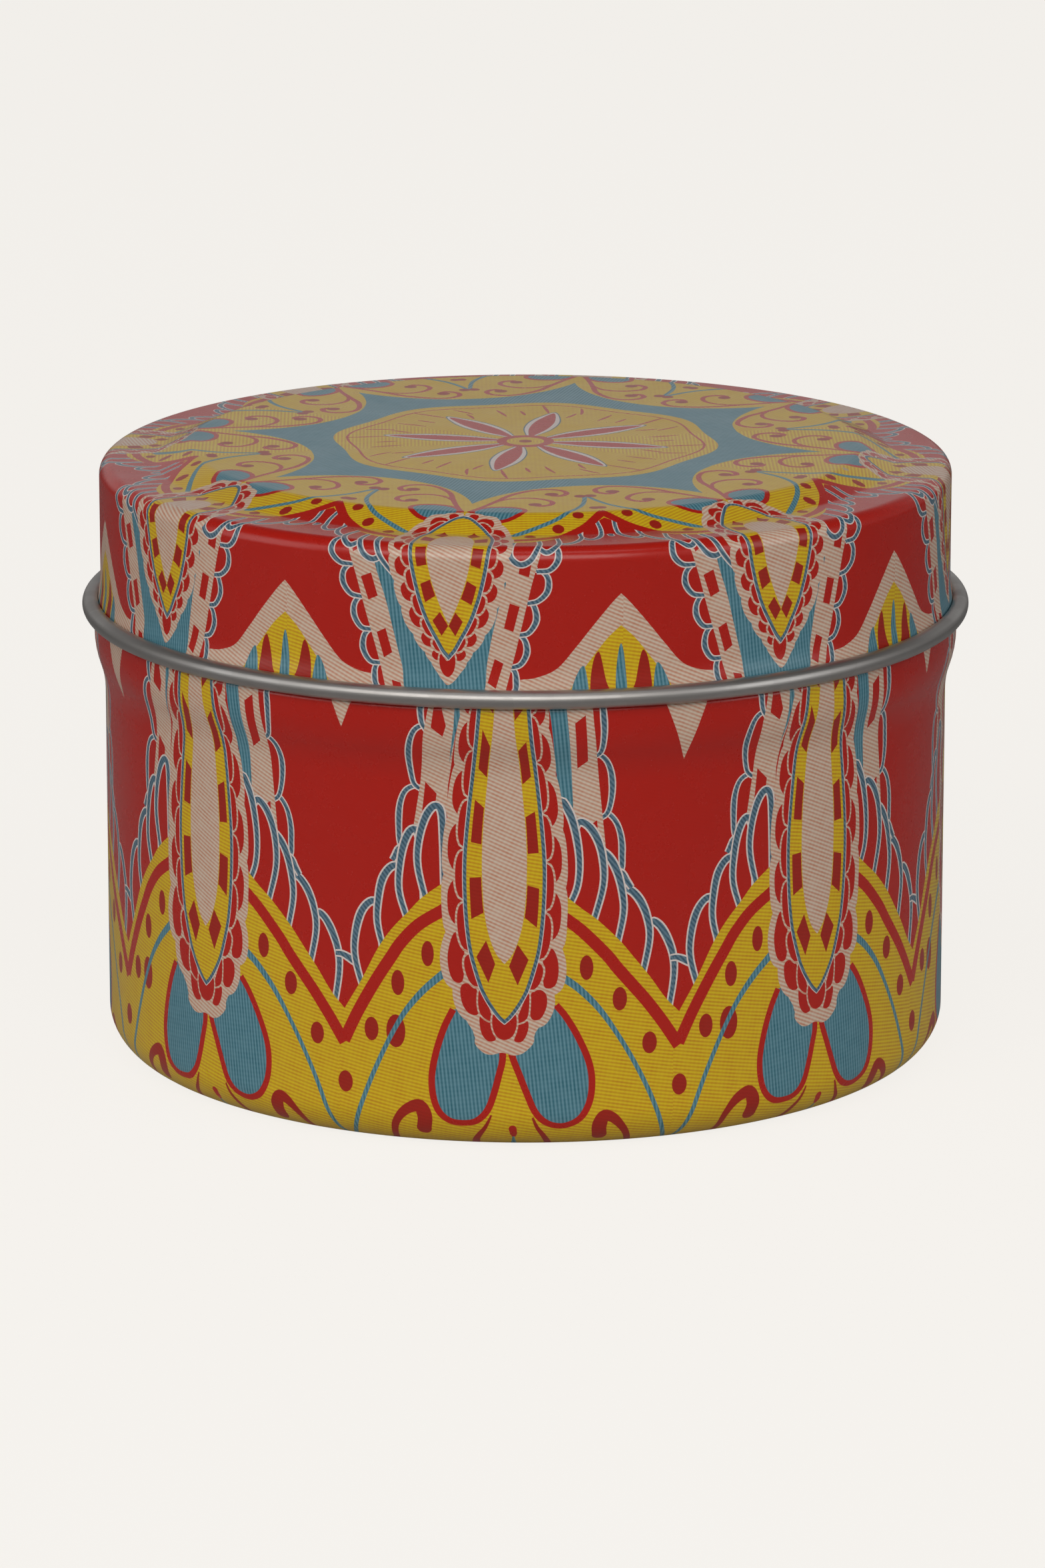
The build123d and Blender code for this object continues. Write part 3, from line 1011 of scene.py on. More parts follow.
    def draw_fringe(self, art: Artwork) -> None:
        """Lay down the loops that hang over the shoulder from the border on the ledge."""
        for side in (1, -1):
            far = 0.5 if side < 0 else 0.0
            for loop in (
                [(15.0, 58.6), (15.12, 58.0), (15.24, 58.6)],
                [(13.4 + far / 3, 62), (12.3, 59.5), (12.1, 57.6), (12.9, 56.8), (13.8, 57.6), (14.3, 59.0), (14.2, 60.5), (13.9, 62)],
                [(11.0, 60), (9.7, 58), (9.3, 56.2), (10.1, 55.3), (11.2, 55.9), (12.0, 57.3), (12.1, 58.6), (12.0, 60.4)],
                [(8.9, 58.5), (7.8 + far, 57), (7.6 + far, 55.4), (7.9 + far, 54.2), (8.6 + far, 53.8), (9.4 + far, 54.6), (9.75 + far, 56), (9.6, 58.6)],
                [(6.1, 58), (5.7 + far, 56.5), (5.4 + far, 54.8), (5.35 + far, 53.4), (6.2 + far, 52.7), (7.2 + far, 53.2), (7.85 + far, 54.7), (7.9 + far, 56.4), (7.4 + far, 58)],
            ):
                art.corded([(side * x, y) for x, y in loop], 0.75)
        art.corded([(-4.5, 51.2), (-5.4, 52.1), (-6.2, 53.2), (-6.7, 54.6), (-6.9, 56.2), (-6.7, 58), (-4.0, 58)], 0.75)

    def draw_ledge(self, art: Artwork) -> None:
        """Lay down the yellow of the top, its scalloped edge, red band and dots."""
        half = smooth([(4.6, 55.8), (7, 56.15), (8.7, 56.85), (10.2, 57.8), (12, 59.0), (13.7, 60.2), (self.half_pitch, 61.1)])
        edge = np.vstack([half[::-1] * [-1, 1], half])
        art.area(Ink.YELLOW, np.vstack([edge, [(self.half_pitch, 84.0), (-self.half_pitch, 84.0)]]))
        band = smooth([(4.6, 56.6), (7.2, 57.1), (9.7, 58.0), (12.5, 59.6), (14.0, 60.9), (15.3, 62.1)])
        for side in (1, -1):
            art.band(Ink.RED, band * [side, 1], (0.75, 0.8, 0.85, 0.95))
            art.dot(Ink.DARK_RED, side * 10.0, 59.6, 0.62, 0.66)
            art.dot(Ink.DARK_RED, side * 7.1, 58.2, 0.6, 0.45)


@dataclass
class PanelPrint:
    """The rosette and scrolls of a flat end, drawn in plan about the motif's middle."""

    scale: float = 1.0
    rosette_r: float = 17.3
    petal_turn: float = -2.0

    def lay(self, art: Artwork, ink: Ink, outline: np.ndarray) -> None:
        """Lay down an outline at the size of this panel."""
        art.area(ink, np.asarray(outline, float) * self.scale)

    def line(self, art: Artwork, ink: Ink, points: Path, width: float | Sequence[float]) -> None:
        """Lay down a line at the size of this panel."""
        art.line(ink, np.asarray(points, float) * self.scale, width)

    def draw(self, art: Artwork) -> None:
        """Lay down the whole panel."""
        art.space = Space.PLAN
        self.draw_ground(art)
        self.draw_lobes(art)
        self.draw_drops(art)
        self.draw_rosette(art)
        art.space = Space.WRAP

    def draw_ground(self, art: Artwork) -> None:
        """Lay down the teal star between the rosette and the yellow lobes."""
        side = smooth([(0, 27.0), (0.7, 25.1), (2.1, 22.6), (4.0, 20.4), (5.6, 19.2), (7.5, 18.2)])
        half = math.pi / 8
        other = turned(side * [-1, 1], 2 * half)[::-1]
        self.lay(art, Ink.TEAL, np.vstack([[(0, 0)], side, other]))

    def draw_lobes(self, art: Artwork) -> None:
        """Lay down the scrolls, teal arcs and dots of the yellow lobes."""
        for side in (1, -1):
            def flip(points: Path) -> Path:
                """The points on this side of the motif."""
                return [(side * x, y) for x, y in points]

            self.line(art, Ink.TEAL, flip([(4.6, 33.3), (6.6, 31.6), (8.2, 29.9), (9.1, 28.0), (9.5, 26), (9.4, 24), (9.1, 22.2)]), (0.5, 0.42, 0.4))
            self.line(art, Ink.RED, flip([(0.25, 30.3), (1.2, 28.0), (2.0, 25.4), (2.7, 23), (4.0, 21), (5.3, 20.1), (6.7, 20.3),
                                          (7.4, 21.4), (7.0, 22.5), (6.2, 22.5)]), (0.3, 0.45, 0.5, 0.5, 0.45, 0.5, 0.6))
            self.line(art, Ink.RED, flip([(1.7, 26.4), (2.8, 24.6), (4.2, 23.9), (5.6, 24.1), (6.7, 25), (6.8, 26.2),
                                          (6.0, 26.9), (5.3, 26.4)]), (0.15, 0.4, 0.45, 0.5, 0.6))
            for x, y, r in ((6.15, 22.0, 0.62), (5.45, 26.4, 0.6), (10.75, 26.7, 0.5), (9.7, 29.1, 0.5), (8.75, 22.3, 0.55)):
                art.dot(Ink.DARK_RED, side * x * self.scale, y * self.scale, r, r)

    def draw_drops(self, art: Artwork) -> None:
        """Lay down the pair of teal drops over each medallion."""
        drop = [(0.6, 30.2), (0.85, 29.2), (1.7, 28.3), (2.9, 27.9), (4.1, 28.0), (4.9, 28.6), (5.0, 29.5),
                (4.5, 30.4), (3.6, 31.2), (2.2, 31.6), (1.0, 31.2)]
        for side in (1, -1):
            rim = smooth([(side * x * self.scale, y * self.scale) for x, y in drop], closed=True)
            art.area(Ink.TEAL, rim)
            art.band(Ink.RED, rim, 0.45, closed=True)

    def draw_rosette(self, art: Artwork) -> None:
        """Lay down the eight-sided rosette and the flower in its middle."""
        half = REPEAT_ANGLE / 2
        a = np.linspace(-half, half, 15)
        radius = self.rosette_r + 0.45 * np.cos(a * REPEATS) - 0.2
        rim = np.stack([radius * np.sin(a), radius * np.cos(a)], axis=1)
        self.lay(art, Ink.YELLOW, np.vstack([[(0, 0)], rim]))
        inner = rim * (1 - 1.25 / self.rosette_r)
        art.band(Ink.RED, inner * self.scale, 0.22)
        for stroke in ([(0.0, 12.6), (0.5, 14.2), (1.25, 16.3)], [(2.0, 11.4), (2.35, 12.3), (2.75, 13.2)],
                       [(-3.0, 12.6), (-2.9, 13.8), (-2.6, 15.2)], [(3.6, 10.6), (4.2, 11.8), (5.0, 13.2)],
                       [(-1.9, 10.9), (-2.3, 12.0), (-2.5, 12.9)]):
            self.line(art, Ink.RED, stroke, (0.14, 0.32, 0.3, 0.14))
        petal = [(0, 13.0), (0.9, 10.8), (1.35, 8.2), (1.2, 5.4), (0.55, 3.0), (0, 1.6)]
        whole = smooth(petal + mirrored(petal[-2:0:-1]), closed=True)
        turn = math.radians(self.petal_turn)
        for ink, width, low in ((Ink.SLATE, 1.1, 0.2), (Ink.WHITE, 1.0, 0.0), (Ink.RED, 0.68, -0.3)):
            shape = (whole - [0, 6.5]) * [width, 1.0 + low / 6] + [0, 6.5]
            self.lay(art, ink, turned(shape, turn))
        a = np.linspace(-half, half, 7)
        for ink, r in ((Ink.RED, 2.6), (Ink.YELLOW, 1.7), (Ink.DARK_RED, 0.6)):
            self.lay(art, ink, np.vstack([[(0, 0)], np.stack([r * np.sin(a), r * np.cos(a)], axis=1)]))


@dataclass
class BasePrint:
    """The artwork of the base: the same rosette inside a plain ring."""

    ring_r: float = 33.7

    def draw(self, art: Artwork) -> None:
        """Lay down everything under the tin."""
        art.space = Space.PLAN
        half = REPEAT_ANGLE / 2
        a = np.linspace(-half, half, PER_REPEAT + 1)
        for ink, r in ((Ink.RED, self.ring_r), (Ink.YELLOW, self.ring_r - 1.3)):
            art.area(ink, np.vstack([[(0, 0)], np.stack([r * np.sin(a), r * np.cos(a)], axis=1)]))
        PanelPrint(scale=0.93).draw(art)


# Finishes


class Nodes:
    """A node tree that is written one line to a node."""

    def __init__(self, tree: bpy.types.NodeTree) -> None:
        """Start from an empty tree."""
        self.tree = tree
        tree.nodes.clear()

    def add(self, kind: str, inputs: dict | None = None, **settings: object) -> bpy.types.Node:
        """Add a node.

        Args:
            kind: its type, without the ShaderNode or NodeGroup prefix for group ends.
            inputs: values or sockets for its inputs, by name or number.
            settings: its other settings.

        Returns:
            The node.
        """
        node = self.tree.nodes.new(kind if kind.startswith("NodeGroup") else "ShaderNode" + kind)
        for key, value in settings.items():
            setattr(node, key, value)
        for key, value in (inputs or {}).items():
            if isinstance(value, bpy.types.NodeSocket):
                self.tree.links.new(value, node.inputs[key])
            else:
                node.inputs[key].default_value = value
        return node

    def maths(self, operation: str, *values: object) -> bpy.types.NodeSocket:
        """The result of one Math node."""
        return self.add("Math", dict(enumerate(values)), operation=operation).outputs[0]

    def mix(self, factor: object, a: object, b: object) -> bpy.types.NodeSocket:
        """A mix of two colours."""
        node = self.add("Mix", {0: factor, 6: a, 7: b}, data_type="RGBA")
        return node.outputs[2]

    def output(self, shader: bpy.types.NodeSocket) -> None:
        """Send a shader to the surface."""
        self.add("OutputMaterial", {"Surface": shader})


def node_group(name: str, inputs: dict[str, str], outputs: dict[str, str]) -> tuple[Nodes, bpy.types.Node, bpy.types.Node]:
    """Start a shader node group.

    Args:
        name: its name.
        inputs: its inputs, as names and socket types.
        outputs: its outputs, likewise.

    Returns:
        Its tree, the node of its inputs and the node that takes its outputs.
    """
    tree = bpy.data.node_groups.new(name, "ShaderNodeTree")
    nodes = Nodes(tree)
    for in_out, sockets in (("INPUT", inputs), ("OUTPUT", outputs)):
        for label, kind in sockets.items():
            tree.interface.new_socket(name=label, in_out=in_out, socket_type="NodeSocket" + kind)
    return nodes, nodes.add("NodeGroupInput"), nodes.add("NodeGroupOutput")


def make_screen_group() -> bpy.types.NodeTree:
    """The fine ribbed screen that lighter inks are printed with."""
    n, given, result = node_group(
        "print_screen",
        {"Ink": "Color", "Ground": "Color", "Turn": "Float", "Pitch": "Float", "Gap": "Float"},
        {"Color": "Color", "Ribs": "Float"},
    )
    spot = n.add("SeparateXYZ", {0: n.add("UVMap", uv_map="print").outputs[0]})
    cos, sin = n.maths("COSINE", given.outputs["Turn"]), n.maths("SINE", given.outputs["Turn"])
    x, y = spot.outputs[0], spot.outputs[1]
    across = n.maths("ADD", n.maths("MULTIPLY", x, cos), n.maths("MULTIPLY", y, sin))
    along_rib = n.maths("SUBTRACT", n.maths("MULTIPLY", y, cos), n.maths("MULTIPLY", x, sin))
    turns = n.maths("DIVIDE", 2 * math.pi, given.outputs["Pitch"])
    rib = n.maths("SINE", n.maths("MULTIPLY", across, turns))
    knot = n.maths("SINE", n.maths("MULTIPLY", along_rib, n.maths("MULTIPLY", turns, 0.8)))
    woven = n.maths("ADD", n.maths("MULTIPLY", rib, 0.44), n.maths("MULTIPLY", knot, 0.06))
    ribs = n.maths("ADD", woven, 0.5)
    uneven = n.add("TexNoise", {"Vector": n.add("UVMap", uv_map="print").outputs[0], "Scale": 0.9, "Detail": 2.0})
    strength = n.maths("MULTIPLY", given.outputs["Gap"], n.maths("ADD", 0.6, uneven.outputs[0]))
    colour = n.mix(n.maths("MULTIPLY", ribs, strength), given.outputs["Ink"], given.outputs["Ground"])
    n.tree.links.new(colour, result.inputs["Color"])
    n.tree.links.new(ribs, result.inputs["Ribs"])
    return n.tree


def make_handling_group() -> bpy.types.NodeTree:
    """Use marks on lacquer: uneven tone, pin specks, faint rubs and a soft skin."""
    n, given, result = node_group(
        "handling",
        {"Color": "Color", "Speck": "Color", "Gloss": "Float", "Marks": "Float"},
        {"Color": "Color", "Roughness": "Float", "Height": "Float"},
    )
    place = n.add("TexCoord").outputs["Object"]
    tone = n.add("TexNoise", {"Vector": place, "Scale": 40.0, "Detail": 2.0})
    shade = n.maths("ADD", 0.96, n.maths("MULTIPLY", tone.outputs[0], 0.08))
    toned = n.add("VectorMath", {0: given.outputs["Color"], 1: n.add("CombineXYZ", {0: shade, 1: shade, 2: shade}).outputs[0]},
                  operation="MULTIPLY").outputs[0]
    pins = n.add("TexVoronoi", {"Vector": place, "Scale": 210.0, "Randomness": 1.0})
    size = n.add("SeparateColor", {0: pins.outputs["Color"]}).outputs[0]
    reach = n.maths("MULTIPLY", n.maths("GREATER_THAN", size, 0.93), n.maths("MULTIPLY", size, 0.07))
    speck = n.maths("MULTIPLY", n.maths("LESS_THAN", pins.outputs["Distance"], reach), given.outputs["Marks"])
    colour = n.mix(speck, toned, given.outputs["Speck"])
    rub = n.add("TexNoise", {"Vector": place, "Scale": 260.0, "Detail": 5.0, "Roughness": 0.65})
    rough = n.maths("ADD", given.outputs["Gloss"], n.maths("MULTIPLY", n.maths("SUBTRACT", rub.outputs[0], 0.5), 0.14))
    skin = n.add("TexNoise", {"Vector": place, "Scale": 900.0, "Detail": 3.0})
    height = n.maths("SUBTRACT", skin.outputs[0], n.maths("MULTIPLY", speck, 1.5))
    n.tree.links.new(colour, result.inputs["Color"])
    n.tree.links.new(rough, result.inputs["Roughness"])
    n.tree.links.new(height, result.inputs["Height"])
    return n.tree


@dataclass(frozen=True)
class PrintedInk:
    """A lacquered ink, with the colour that shows in the gaps of its screen."""

    ink: Ink
    colour: tuple[float, float, float]
    ground: tuple[float, float, float]
    gap: float
    turn: float = 1.35
    pitch: float = 0.33
    gloss: float = 0.3

    def material(self, screen: bpy.types.NodeTree, handling: bpy.types.NodeTree) -> bpy.types.Material:
        """Make the ink's material.

        Args:
            screen: the group of the ribbed screen.
            handling: the group of the use marks.

        Returns:
            The material.
        """
        made = bpy.data.materials.new(f"ink_{self.ink.value}")
        made.use_nodes = True
        n = Nodes(made.node_tree)
        ribbed = n.add("Group", node_tree=screen)
        for label, value in (("Ink", (*self.colour, 1)), ("Ground", (*self.ground, 1)), ("Turn", self.turn),
                             ("Pitch", self.pitch), ("Gap", self.gap)):
            ribbed.inputs[label].default_value = value
        used = n.add("Group", node_tree=handling)
        n.tree.links.new(ribbed.outputs["Color"], used.inputs["Color"])
        used.inputs["Speck"].default_value = (0.5, 0.4, 0.33, 1)
        used.inputs["Gloss"].default_value = self.gloss
        used.inputs["Marks"].default_value = 0.8
        relief = n.maths("ADD", used.outputs["Height"], n.maths("MULTIPLY", ribbed.outputs["Ribs"], self.gap * 0.6))
        bump = n.add("Bump", {"Strength": 0.12, "Distance": 0.00008, "Height": relief})
        shader = n.add("BsdfPrincipled", {"Base Color": used.outputs["Color"], "Roughness": used.outputs["Roughness"],
                                          "Normal": bump.outputs[0], "IOR": 1.5})
        n.output(shader.outputs[0])
        return made


INKS = (
    PrintedInk(Ink.RED, (0.50, 0.012, 0.005), (0.44, 0.008, 0.003), 0.15, gloss=0.27),
    PrintedInk(Ink.DARK_RED, (0.40, 0.016, 0.006), (0.33, 0.010, 0.004), 0.5),
    PrintedInk(Ink.YELLOW, (0.78, 0.58, 0.012), (0.60, 0.25, 0.008), 0.75, turn=1.38),
    PrintedInk(Ink.TEAL, (0.16, 0.34, 0.42), (0.02, 0.14, 0.19), 0.8, turn=0.1),
    PrintedInk(Ink.CREAM, (0.74, 0.64, 0.52), (0.58, 0.22, 0.12), 0.75, turn=1.15),
    PrintedInk(Ink.SLATE, (0.15, 0.25, 0.32), (0.02, 0.07, 0.12), 0.8, turn=0.7),
    PrintedInk(Ink.WHITE, (0.80, 0.72, 0.68), (0.72, 0.55, 0.50), 0.3),
)


@dataclass(frozen=True)
class BareTinplate:
    """Uncoated tinplate, dulled a little and drawn round by the tools."""

    colour: tuple[float, float, float] = (0.52, 0.505, 0.49)
    dull: tuple[float, float, float] = (0.36, 0.345, 0.33)
    gloss: float = 0.4

    def material(self) -> bpy.types.Material:
        """Make the material."""
        made = bpy.data.materials.new("bare_tinplate")
        made.use_nodes = True
        n = Nodes(made.node_tree)
        place = n.add("TexCoord").outputs["Object"]
        at = n.add("SeparateXYZ", {0: place})
        r = n.maths("POWER", n.maths("ADD", n.maths("POWER", at.outputs[0], 2.0), n.maths("POWER", at.outputs[1], 2.0)), 0.5)
        rings = n.add("CombineXYZ", {0: n.maths("MULTIPLY", r, 1.0), 1: n.maths("MULTIPLY", at.outputs[2], 1.0)})
        drawn = n.add("TexNoise", {"Vector": rings.outputs[0], "Scale": 5200.0, "Detail": 3.0})
        cloud = n.add("TexNoise", {"Vector": place, "Scale": 140.0, "Detail": 5.0})
        spangle = n.add("TexVoronoi", {"Vector": place, "Scale": 420.0}, feature="F1")
        facet = n.add("SeparateColor", {0: spangle.outputs["Color"]}).outputs[0]
        worn = n.maths("ADD", n.maths("MULTIPLY", cloud.outputs[0], 0.8), n.maths("MULTIPLY", facet, 0.2))
        colour = n.mix(worn, (*self.colour, 1), (*self.dull, 1))
        rough = n.maths("ADD", self.gloss - 0.08, n.maths("MULTIPLY", worn, 0.22))
        relief = n.maths("ADD", n.maths("MULTIPLY", drawn.outputs[0], 0.7), n.maths("MULTIPLY", facet, 0.2))
        bump = n.add("Bump", {"Strength": 0.15, "Distance": 0.00008, "Height": relief})
        shader = n.add("BsdfPrincipled", {"Base Color": colour, "Roughness": rough, "Metallic": 1.0, "Normal": bump.outputs[0]})
        n.output(shader.outputs[0])
        return made


# The two pieces of sheet


@dataclass
class Shell:
    """One drawn piece of tinplate with its print."""

    name: str
    section: Section
    sheet: float
    printed_to: int
    printed_on_line: bool
    ref: int
    ref_height: float
    plan_r: float
    inset: float = 0.03

    def faces(self) -> tuple[np.ndarray, np.ndarray]:
        """Both faces of the sheet in section: the drawn line and the one to its left."""
        return self.section.points, self.section.points + self.section.left * self.sheet

    def printed_face(self) -> PrintedFace:
        """The face that carries the print, with heights that agree with the straight wall."""
        line, offset = self.faces()
        points = (line if self.printed_on_line else offset)[: self.printed_to + 1]
        normals = (-self.section.left if self.printed_on_line else self.section.left)[: self.printed_to + 1]
        length = along(points)
        rise = 1.0 if self.printed_on_line else -1.0
        return PrintedFace(points, normals, self.ref_height + rise * (length - length[self.ref]), self.plan_r)

    def build(self, metal: bpy.types.Material) -> bpy.types.Object:
        """Make the sheet itself, a little under the ink where it is printed."""
        line, offset = self.faces()
        left = self.section.left
        hidden = np.where(np.arange(len(line)) <= self.printed_to, self.inset, 0.0)[:, None]
        if self.printed_on_line:
            line = line + left * hidden
        else:
            offset = offset - left * hidden
        end = (line[-1] + offset[-1]) / 2
        onward = np.array([left[-1][1], -left[-1][0]])
        turn = np.linspace(0, math.pi, 9)[1:-1, None]
        cap = -left[-1] * np.cos(turn) + onward * np.sin(turn)
        path = np.vstack([line, end + cap * self.sheet / 2, offset[::-1]])
        normals = np.vstack([-left, cap, left[::-1]])
        piece = revolved(f"{self.name}_sheet", path, normals)
        coat(piece, metal)
        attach(piece, self.name)
        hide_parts(self.name)
        log.info("%s: %d faces", piece.name, len(piece.data.polygons))
        return piece


@dataclass
class TinBody:
    """The drawn body: base, foot corner, wall, stop bead, neck and inward rim curl."""

    sheet: float = 0.23
    wall_r: float = 38.17
    foot_corner_r: float = 3.6
    base_rise: float = 1.0
    base_panel_r: float = 30.7
    base_slope_r: float = 33.2
    base_bend_r: float = 1.0
    bead_low: float = 33.2
    bead_full: float = 38.6
    bead_proud: float = 0.93
    bead_top: float = 40.28
    bead_corner_r: float = 0.55
    neck_fillet_r: float = 0.25
    rim_r: float = 0.8
    rim_top: float = 53.55
    rim_roll: float = 310.0
    print_turn: float = -2.75

    def shell(self) -> Shell:
        """The sheet of the body."""
        bead_r = self.wall_r + self.bead_proud
        low, high, swell_r = joggle((self.wall_r, self.bead_low), (bead_r, self.bead_full))
        corners = [(0, self.base_rise), (self.base_panel_r, self.base_rise), (self.base_slope_r, 0),
                   (self.wall_r, 0), low, high, (bead_r, self.bead_top), (self.wall_r, self.bead_top),
                   (self.wall_r, self.rim_top - self.rim_r)]
        radii = [self.base_bend_r, self.base_bend_r, self.foot_corner_r, swell_r, swell_r, self.bead_corner_r,
                 self.neck_fillet_r]
        section = Section.drawn(corners, radii, self.rim_r, self.rim_roll)
        return Shell(
            "tin_body", section, self.sheet,
            printed_to=section.nearest((bead_r - self.bead_corner_r, self.bead_top)),
            printed_on_line=True,
            ref=section.nearest((self.wall_r, self.foot_corner_r)),
            ref_height=self.foot_corner_r,
            plan_r=self.wall_r - self.foot_corner_r,
        )

    def build(self, metal: bpy.types.Material, inks: dict[Ink, bpy.types.Material]) -> None:
        """Make the sheet and the print of the body."""
        shell = self.shell()
        shell.build(metal)
        face = shell.printed_face()
        art = Artwork()
        BodyPrint().draw(art)
        BasePrint().draw(art)
        low = self.foot_corner_r - self.foot_corner_r * math.pi / 2
        Print("tin_body", face, self.wall_r, low, face.heights[-1], math.radians(self.print_turn), art).pieces(inks, "tin_body")


@dataclass
class Lid:
    """The slip lid: raised panel, ledge, rounded corner, skirt and outward curl."""

    sheet: float = 0.23
    skirt_r: float = 38.5
    ledge: float = 54.1
    corner_r: float = 1.25
    ledge_in_r: float = 33.4
    panel_r: float = 30.2
    panel_top: float = 55.45
    panel_bend_r: float = 1.5
    flare_top: float = 43.7
    curl_z: float = 41.0
    curl_r: float = 0.83
    curl_centre_r: float = 39.35
    curl_roll: float = 310.0
    print_turn: float = -9.9

    def shell(self) -> Shell:
        """The sheet of the lid, drawn along its bare inside."""
        skirt_in, curl_start = self.skirt_r - self.sheet, self.curl_centre_r - self.curl_r
        panel, ledge = self.panel_top - self.sheet, self.ledge - self.sheet
        high, low, flare_r = joggle((skirt_in, self.flare_top), (curl_start, self.curl_z))
        corners = [(0, panel), (self.panel_r, panel), (self.ledge_in_r, ledge), (skirt_in, ledge), high, low,
                   (curl_start, self.curl_z)]
        radii = [self.panel_bend_r, self.panel_bend_r, self.corner_r - self.sheet, flare_r, flare_r]
        section = Section.drawn(corners, radii, self.curl_r, self.curl_roll)
        return Shell(
            "lid", section, self.sheet,
            printed_to=section.nearest((curl_start, self.curl_z)),
            printed_on_line=False,
            ref=section.nearest((skirt_in, self.ledge - self.corner_r)),
            ref_height=self.ledge - self.corner_r,
            plan_r=self.skirt_r - self.corner_r,
        )

    def build(self, metal: bpy.types.Material, inks: dict[Ink, bpy.types.Material]) -> None:
        """Make the sheet and the print of the lid."""
        shell = self.shell()
        shell.build(metal)
        face = shell.printed_face()
        art = Artwork()
        LidPrint().draw(art)
        high = self.ledge - self.corner_r + self.corner_r * math.pi / 2
        Print("lid", face, self.skirt_r, face.heights[-1], high, math.radians(self.print_turn), art).pieces(inks, "lid")


# The studio


@dataclass(frozen=True)
class Softbox:
    """A soft rectangular light that points at the tin."""

    name: str
    azimuth: float
    elevation: float
    distance: float
    width: float
    height: float
    power: float
    colour: tuple[float, float, float] = (1.0, 1.0, 1.0)

    def build(self, target: Vector) -> None:
        """Hang the light.

        Args:
            target: the point that it faces, in metres.
        """
        light = bpy.data.lights.new(self.name, "AREA")
        light.shape, light.size, light.size_y = "RECTANGLE", self.width, self.height
        light.energy, light.color = self.power, self.colour
        lamp = bpy.data.objects.new(self.name, light)
        a, e = math.radians(self.azimuth), math.radians(self.elevation)
        away = Vector((math.sin(a) * math.cos(e), -math.cos(a) * math.cos(e), math.sin(e)))
        lamp.location = target + away * self.distance
        lamp.rotation_euler = away.to_track_quat("Z", "Y").to_euler()
        bpy.context.scene.collection.objects.link(lamp)


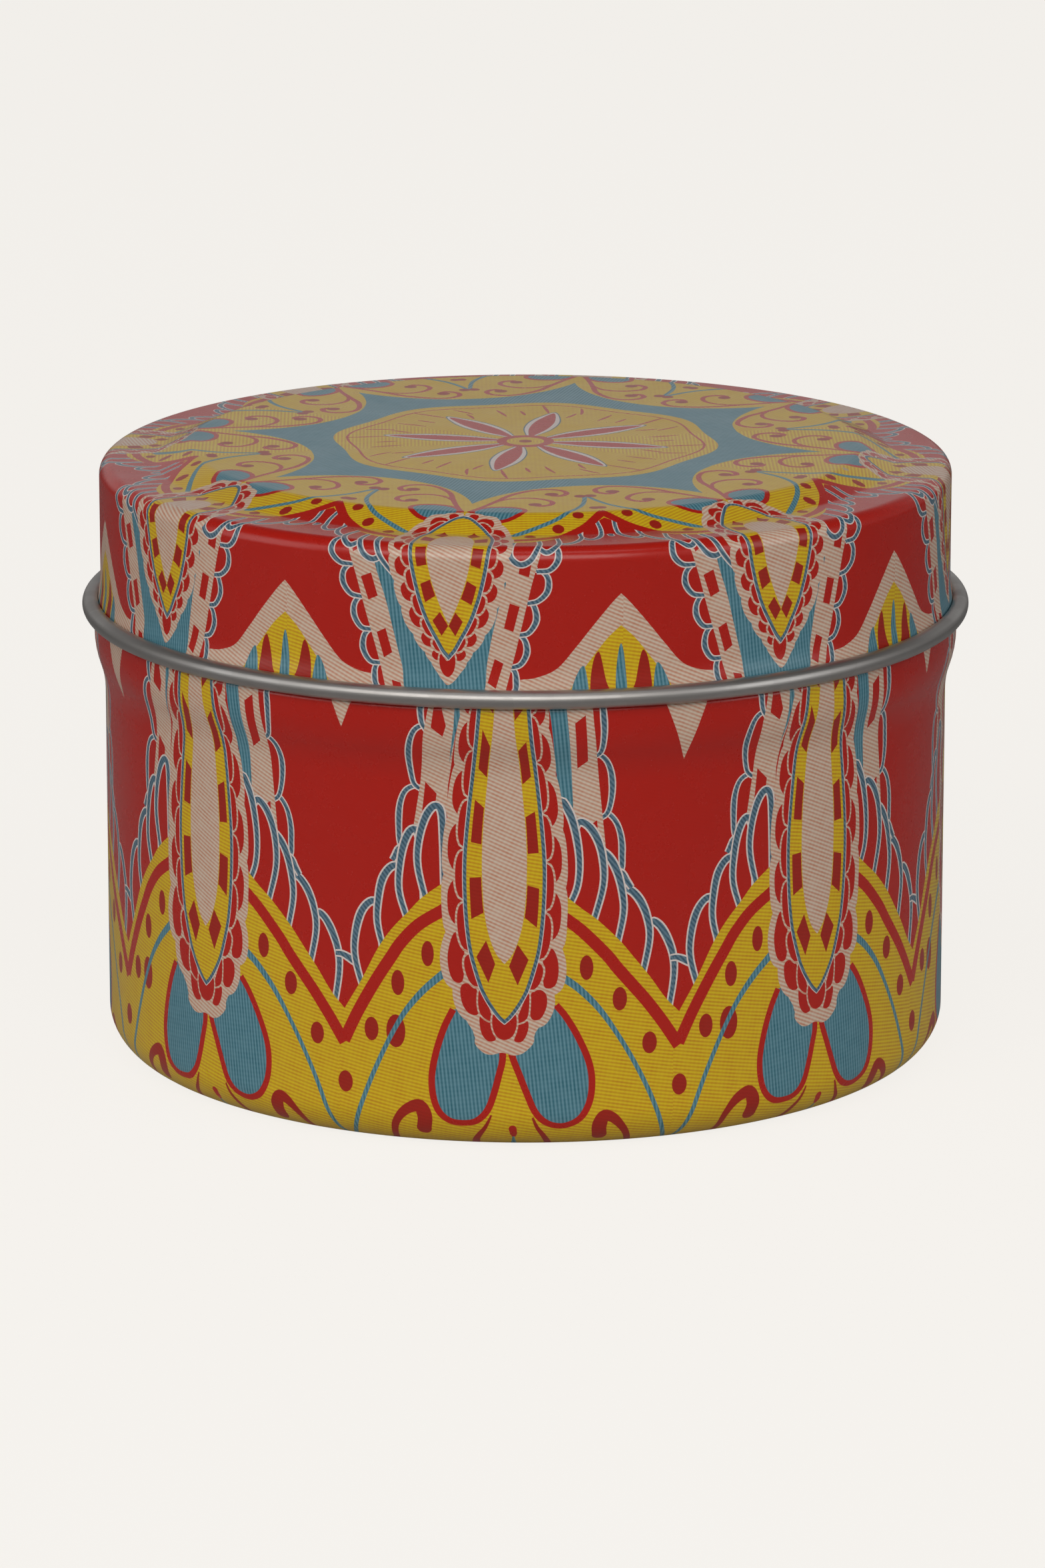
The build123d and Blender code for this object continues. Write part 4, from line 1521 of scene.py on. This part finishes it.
@dataclass(frozen=True)
class Studio:
    """A pale floor, soft lights and the camera."""

    pale: tuple[float, float, float] = (0.904, 0.879, 0.839)
    floor_half: float = 8.0
    camera_at: tuple[float, float, float] = (-0.000262, -0.678, 0.1973)
    camera_pitch: float = 14.38
    lens: float = 175.85

    def build_camera(self) -> None:
        """Place the camera."""
        data = bpy.data.cameras.new("camera")
        data.lens, data.sensor_width, data.clip_start = self.lens, 36.0, 0.01
        camera = bpy.data.objects.new("camera", data)
        camera.location = self.camera_at
        camera.rotation_euler = (math.radians(90 - self.camera_pitch), 0, 0)
        bpy.context.scene.collection.objects.link(camera)
        bpy.context.scene.camera = camera

    def build_floor(self) -> None:
        """Lay the floor: to the camera an evenly lit pale sheet that gives back less light than it shows; to other rays
        it is painted paler near the tin, a painted pool of light that the tin reflects.
        """
        half = self.floor_half
        mesh = bpy.data.meshes.new("floor")
        mesh.from_pydata([(-half, -half, 0), (half, -half, 0), (half, half, 0), (-half, half, 0)], [], [(0, 1, 2, 3)])
        floor = bpy.data.objects.new("floor", mesh)
        bpy.context.scene.collection.objects.link(floor)
        made = bpy.data.materials.new("pale_floor")
        made.use_nodes = True
        n = Nodes(made.node_tree)
        shown = n.add("AddShader", {
            0: n.add("Emission", {"Color": (*self.pale, 1), "Strength": 0.95}).outputs[0],
            1: n.add("BsdfDiffuse", {"Color": (0.1, 0.1, 0.1, 1)}).outputs[0],
        })
        place = n.add("TexCoord").outputs["Object"]
        away = n.add("VectorMath", {0: place}, operation="LENGTH").outputs["Value"]
        # Painted pool of light: the floor that the tin sees is paler within a few centimetres of it, so the bead and
        # the foot corner show a painted reflection of a bright tabletop.
        near = n.add("MapRange", {0: away, 1: 0.06, 2: 0.2, 3: 0.5, 4: 0.28}).outputs[0]
        given = n.add("BsdfDiffuse", {"Color": n.add("CombineColor", {0: near, 1: near, 2: near}).outputs[0]})
        n.output(n.add("MixShader", {0: n.add("LightPath").outputs["Is Camera Ray"], 1: given.outputs[0],
                                     2: shown.outputs[0]}).outputs[0])
        coat(floor, made)

    def build_world(self) -> None:
        """Fill the room: dim overhead, paler towards the horizon."""
        world = bpy.data.worlds.new("room")
        bpy.context.scene.world = world
        world.use_nodes = True
        n = Nodes(world.node_tree)
        up = n.add("SeparateXYZ", {0: n.add("TexCoord").outputs["Generated"]}).outputs[2]
        ramp = n.add("ValToRGB", {0: up})
        stops = ramp.color_ramp.elements
        stops[0].position, stops[0].color = 0.0, (0.24, 0.235, 0.23, 1)
        stops[1].position, stops[1].color = 0.75, (0.05, 0.05, 0.05, 1)
        middle = stops.new(0.45)
        middle.color = (0.14, 0.137, 0.134, 1)
        seen = n.mix(n.add("LightPath").outputs["Is Camera Ray"], ramp.outputs[0], (*self.pale, 1))
        n.add("OutputWorld", {"Surface": n.add("Background", {"Color": seen}).outputs[0]})

    def build_lights(self) -> None:
        """Hang the lights."""
        target = Vector((0, 0, 0.03))
        for light in (
            Softbox("key", -10, 34, 1.0, 1.3, 0.45, 5.3, (1.0, 0.97, 0.94)),
            Softbox("high", -5, 72, 1.0, 0.9, 0.14, 0.75),
            Softbox("left", -72, 18, 1.0, 0.6, 0.6, 1.5),
            Softbox("right", 68, 18, 1.0, 0.6, 0.6, 1.7),
            Softbox("back", 180, 17, 1.5, 2.6, 0.6, 1.6),
        ):
            light.build(target)

    def build(self) -> None:
        """Set up the whole studio."""
        scene = bpy.context.scene
        scene.view_settings.view_transform = "Standard"
        scene.view_settings.look = "None"
        self.build_camera()
        self.build_floor()
        self.build_world()
        self.build_lights()


def main() -> None:
    """Build the studio, the body and the lid."""
    logging.basicConfig(level=logging.INFO, format="%(message)s")
    Studio().build()
    screen, handling = make_screen_group(), make_handling_group()
    inks = {finish.ink: finish.material(screen, handling) for finish in INKS}
    metal = BareTinplate().material()
    TinBody().build(metal, inks)
    Lid().build(metal, inks)


if __name__ == "__main__":
    main()
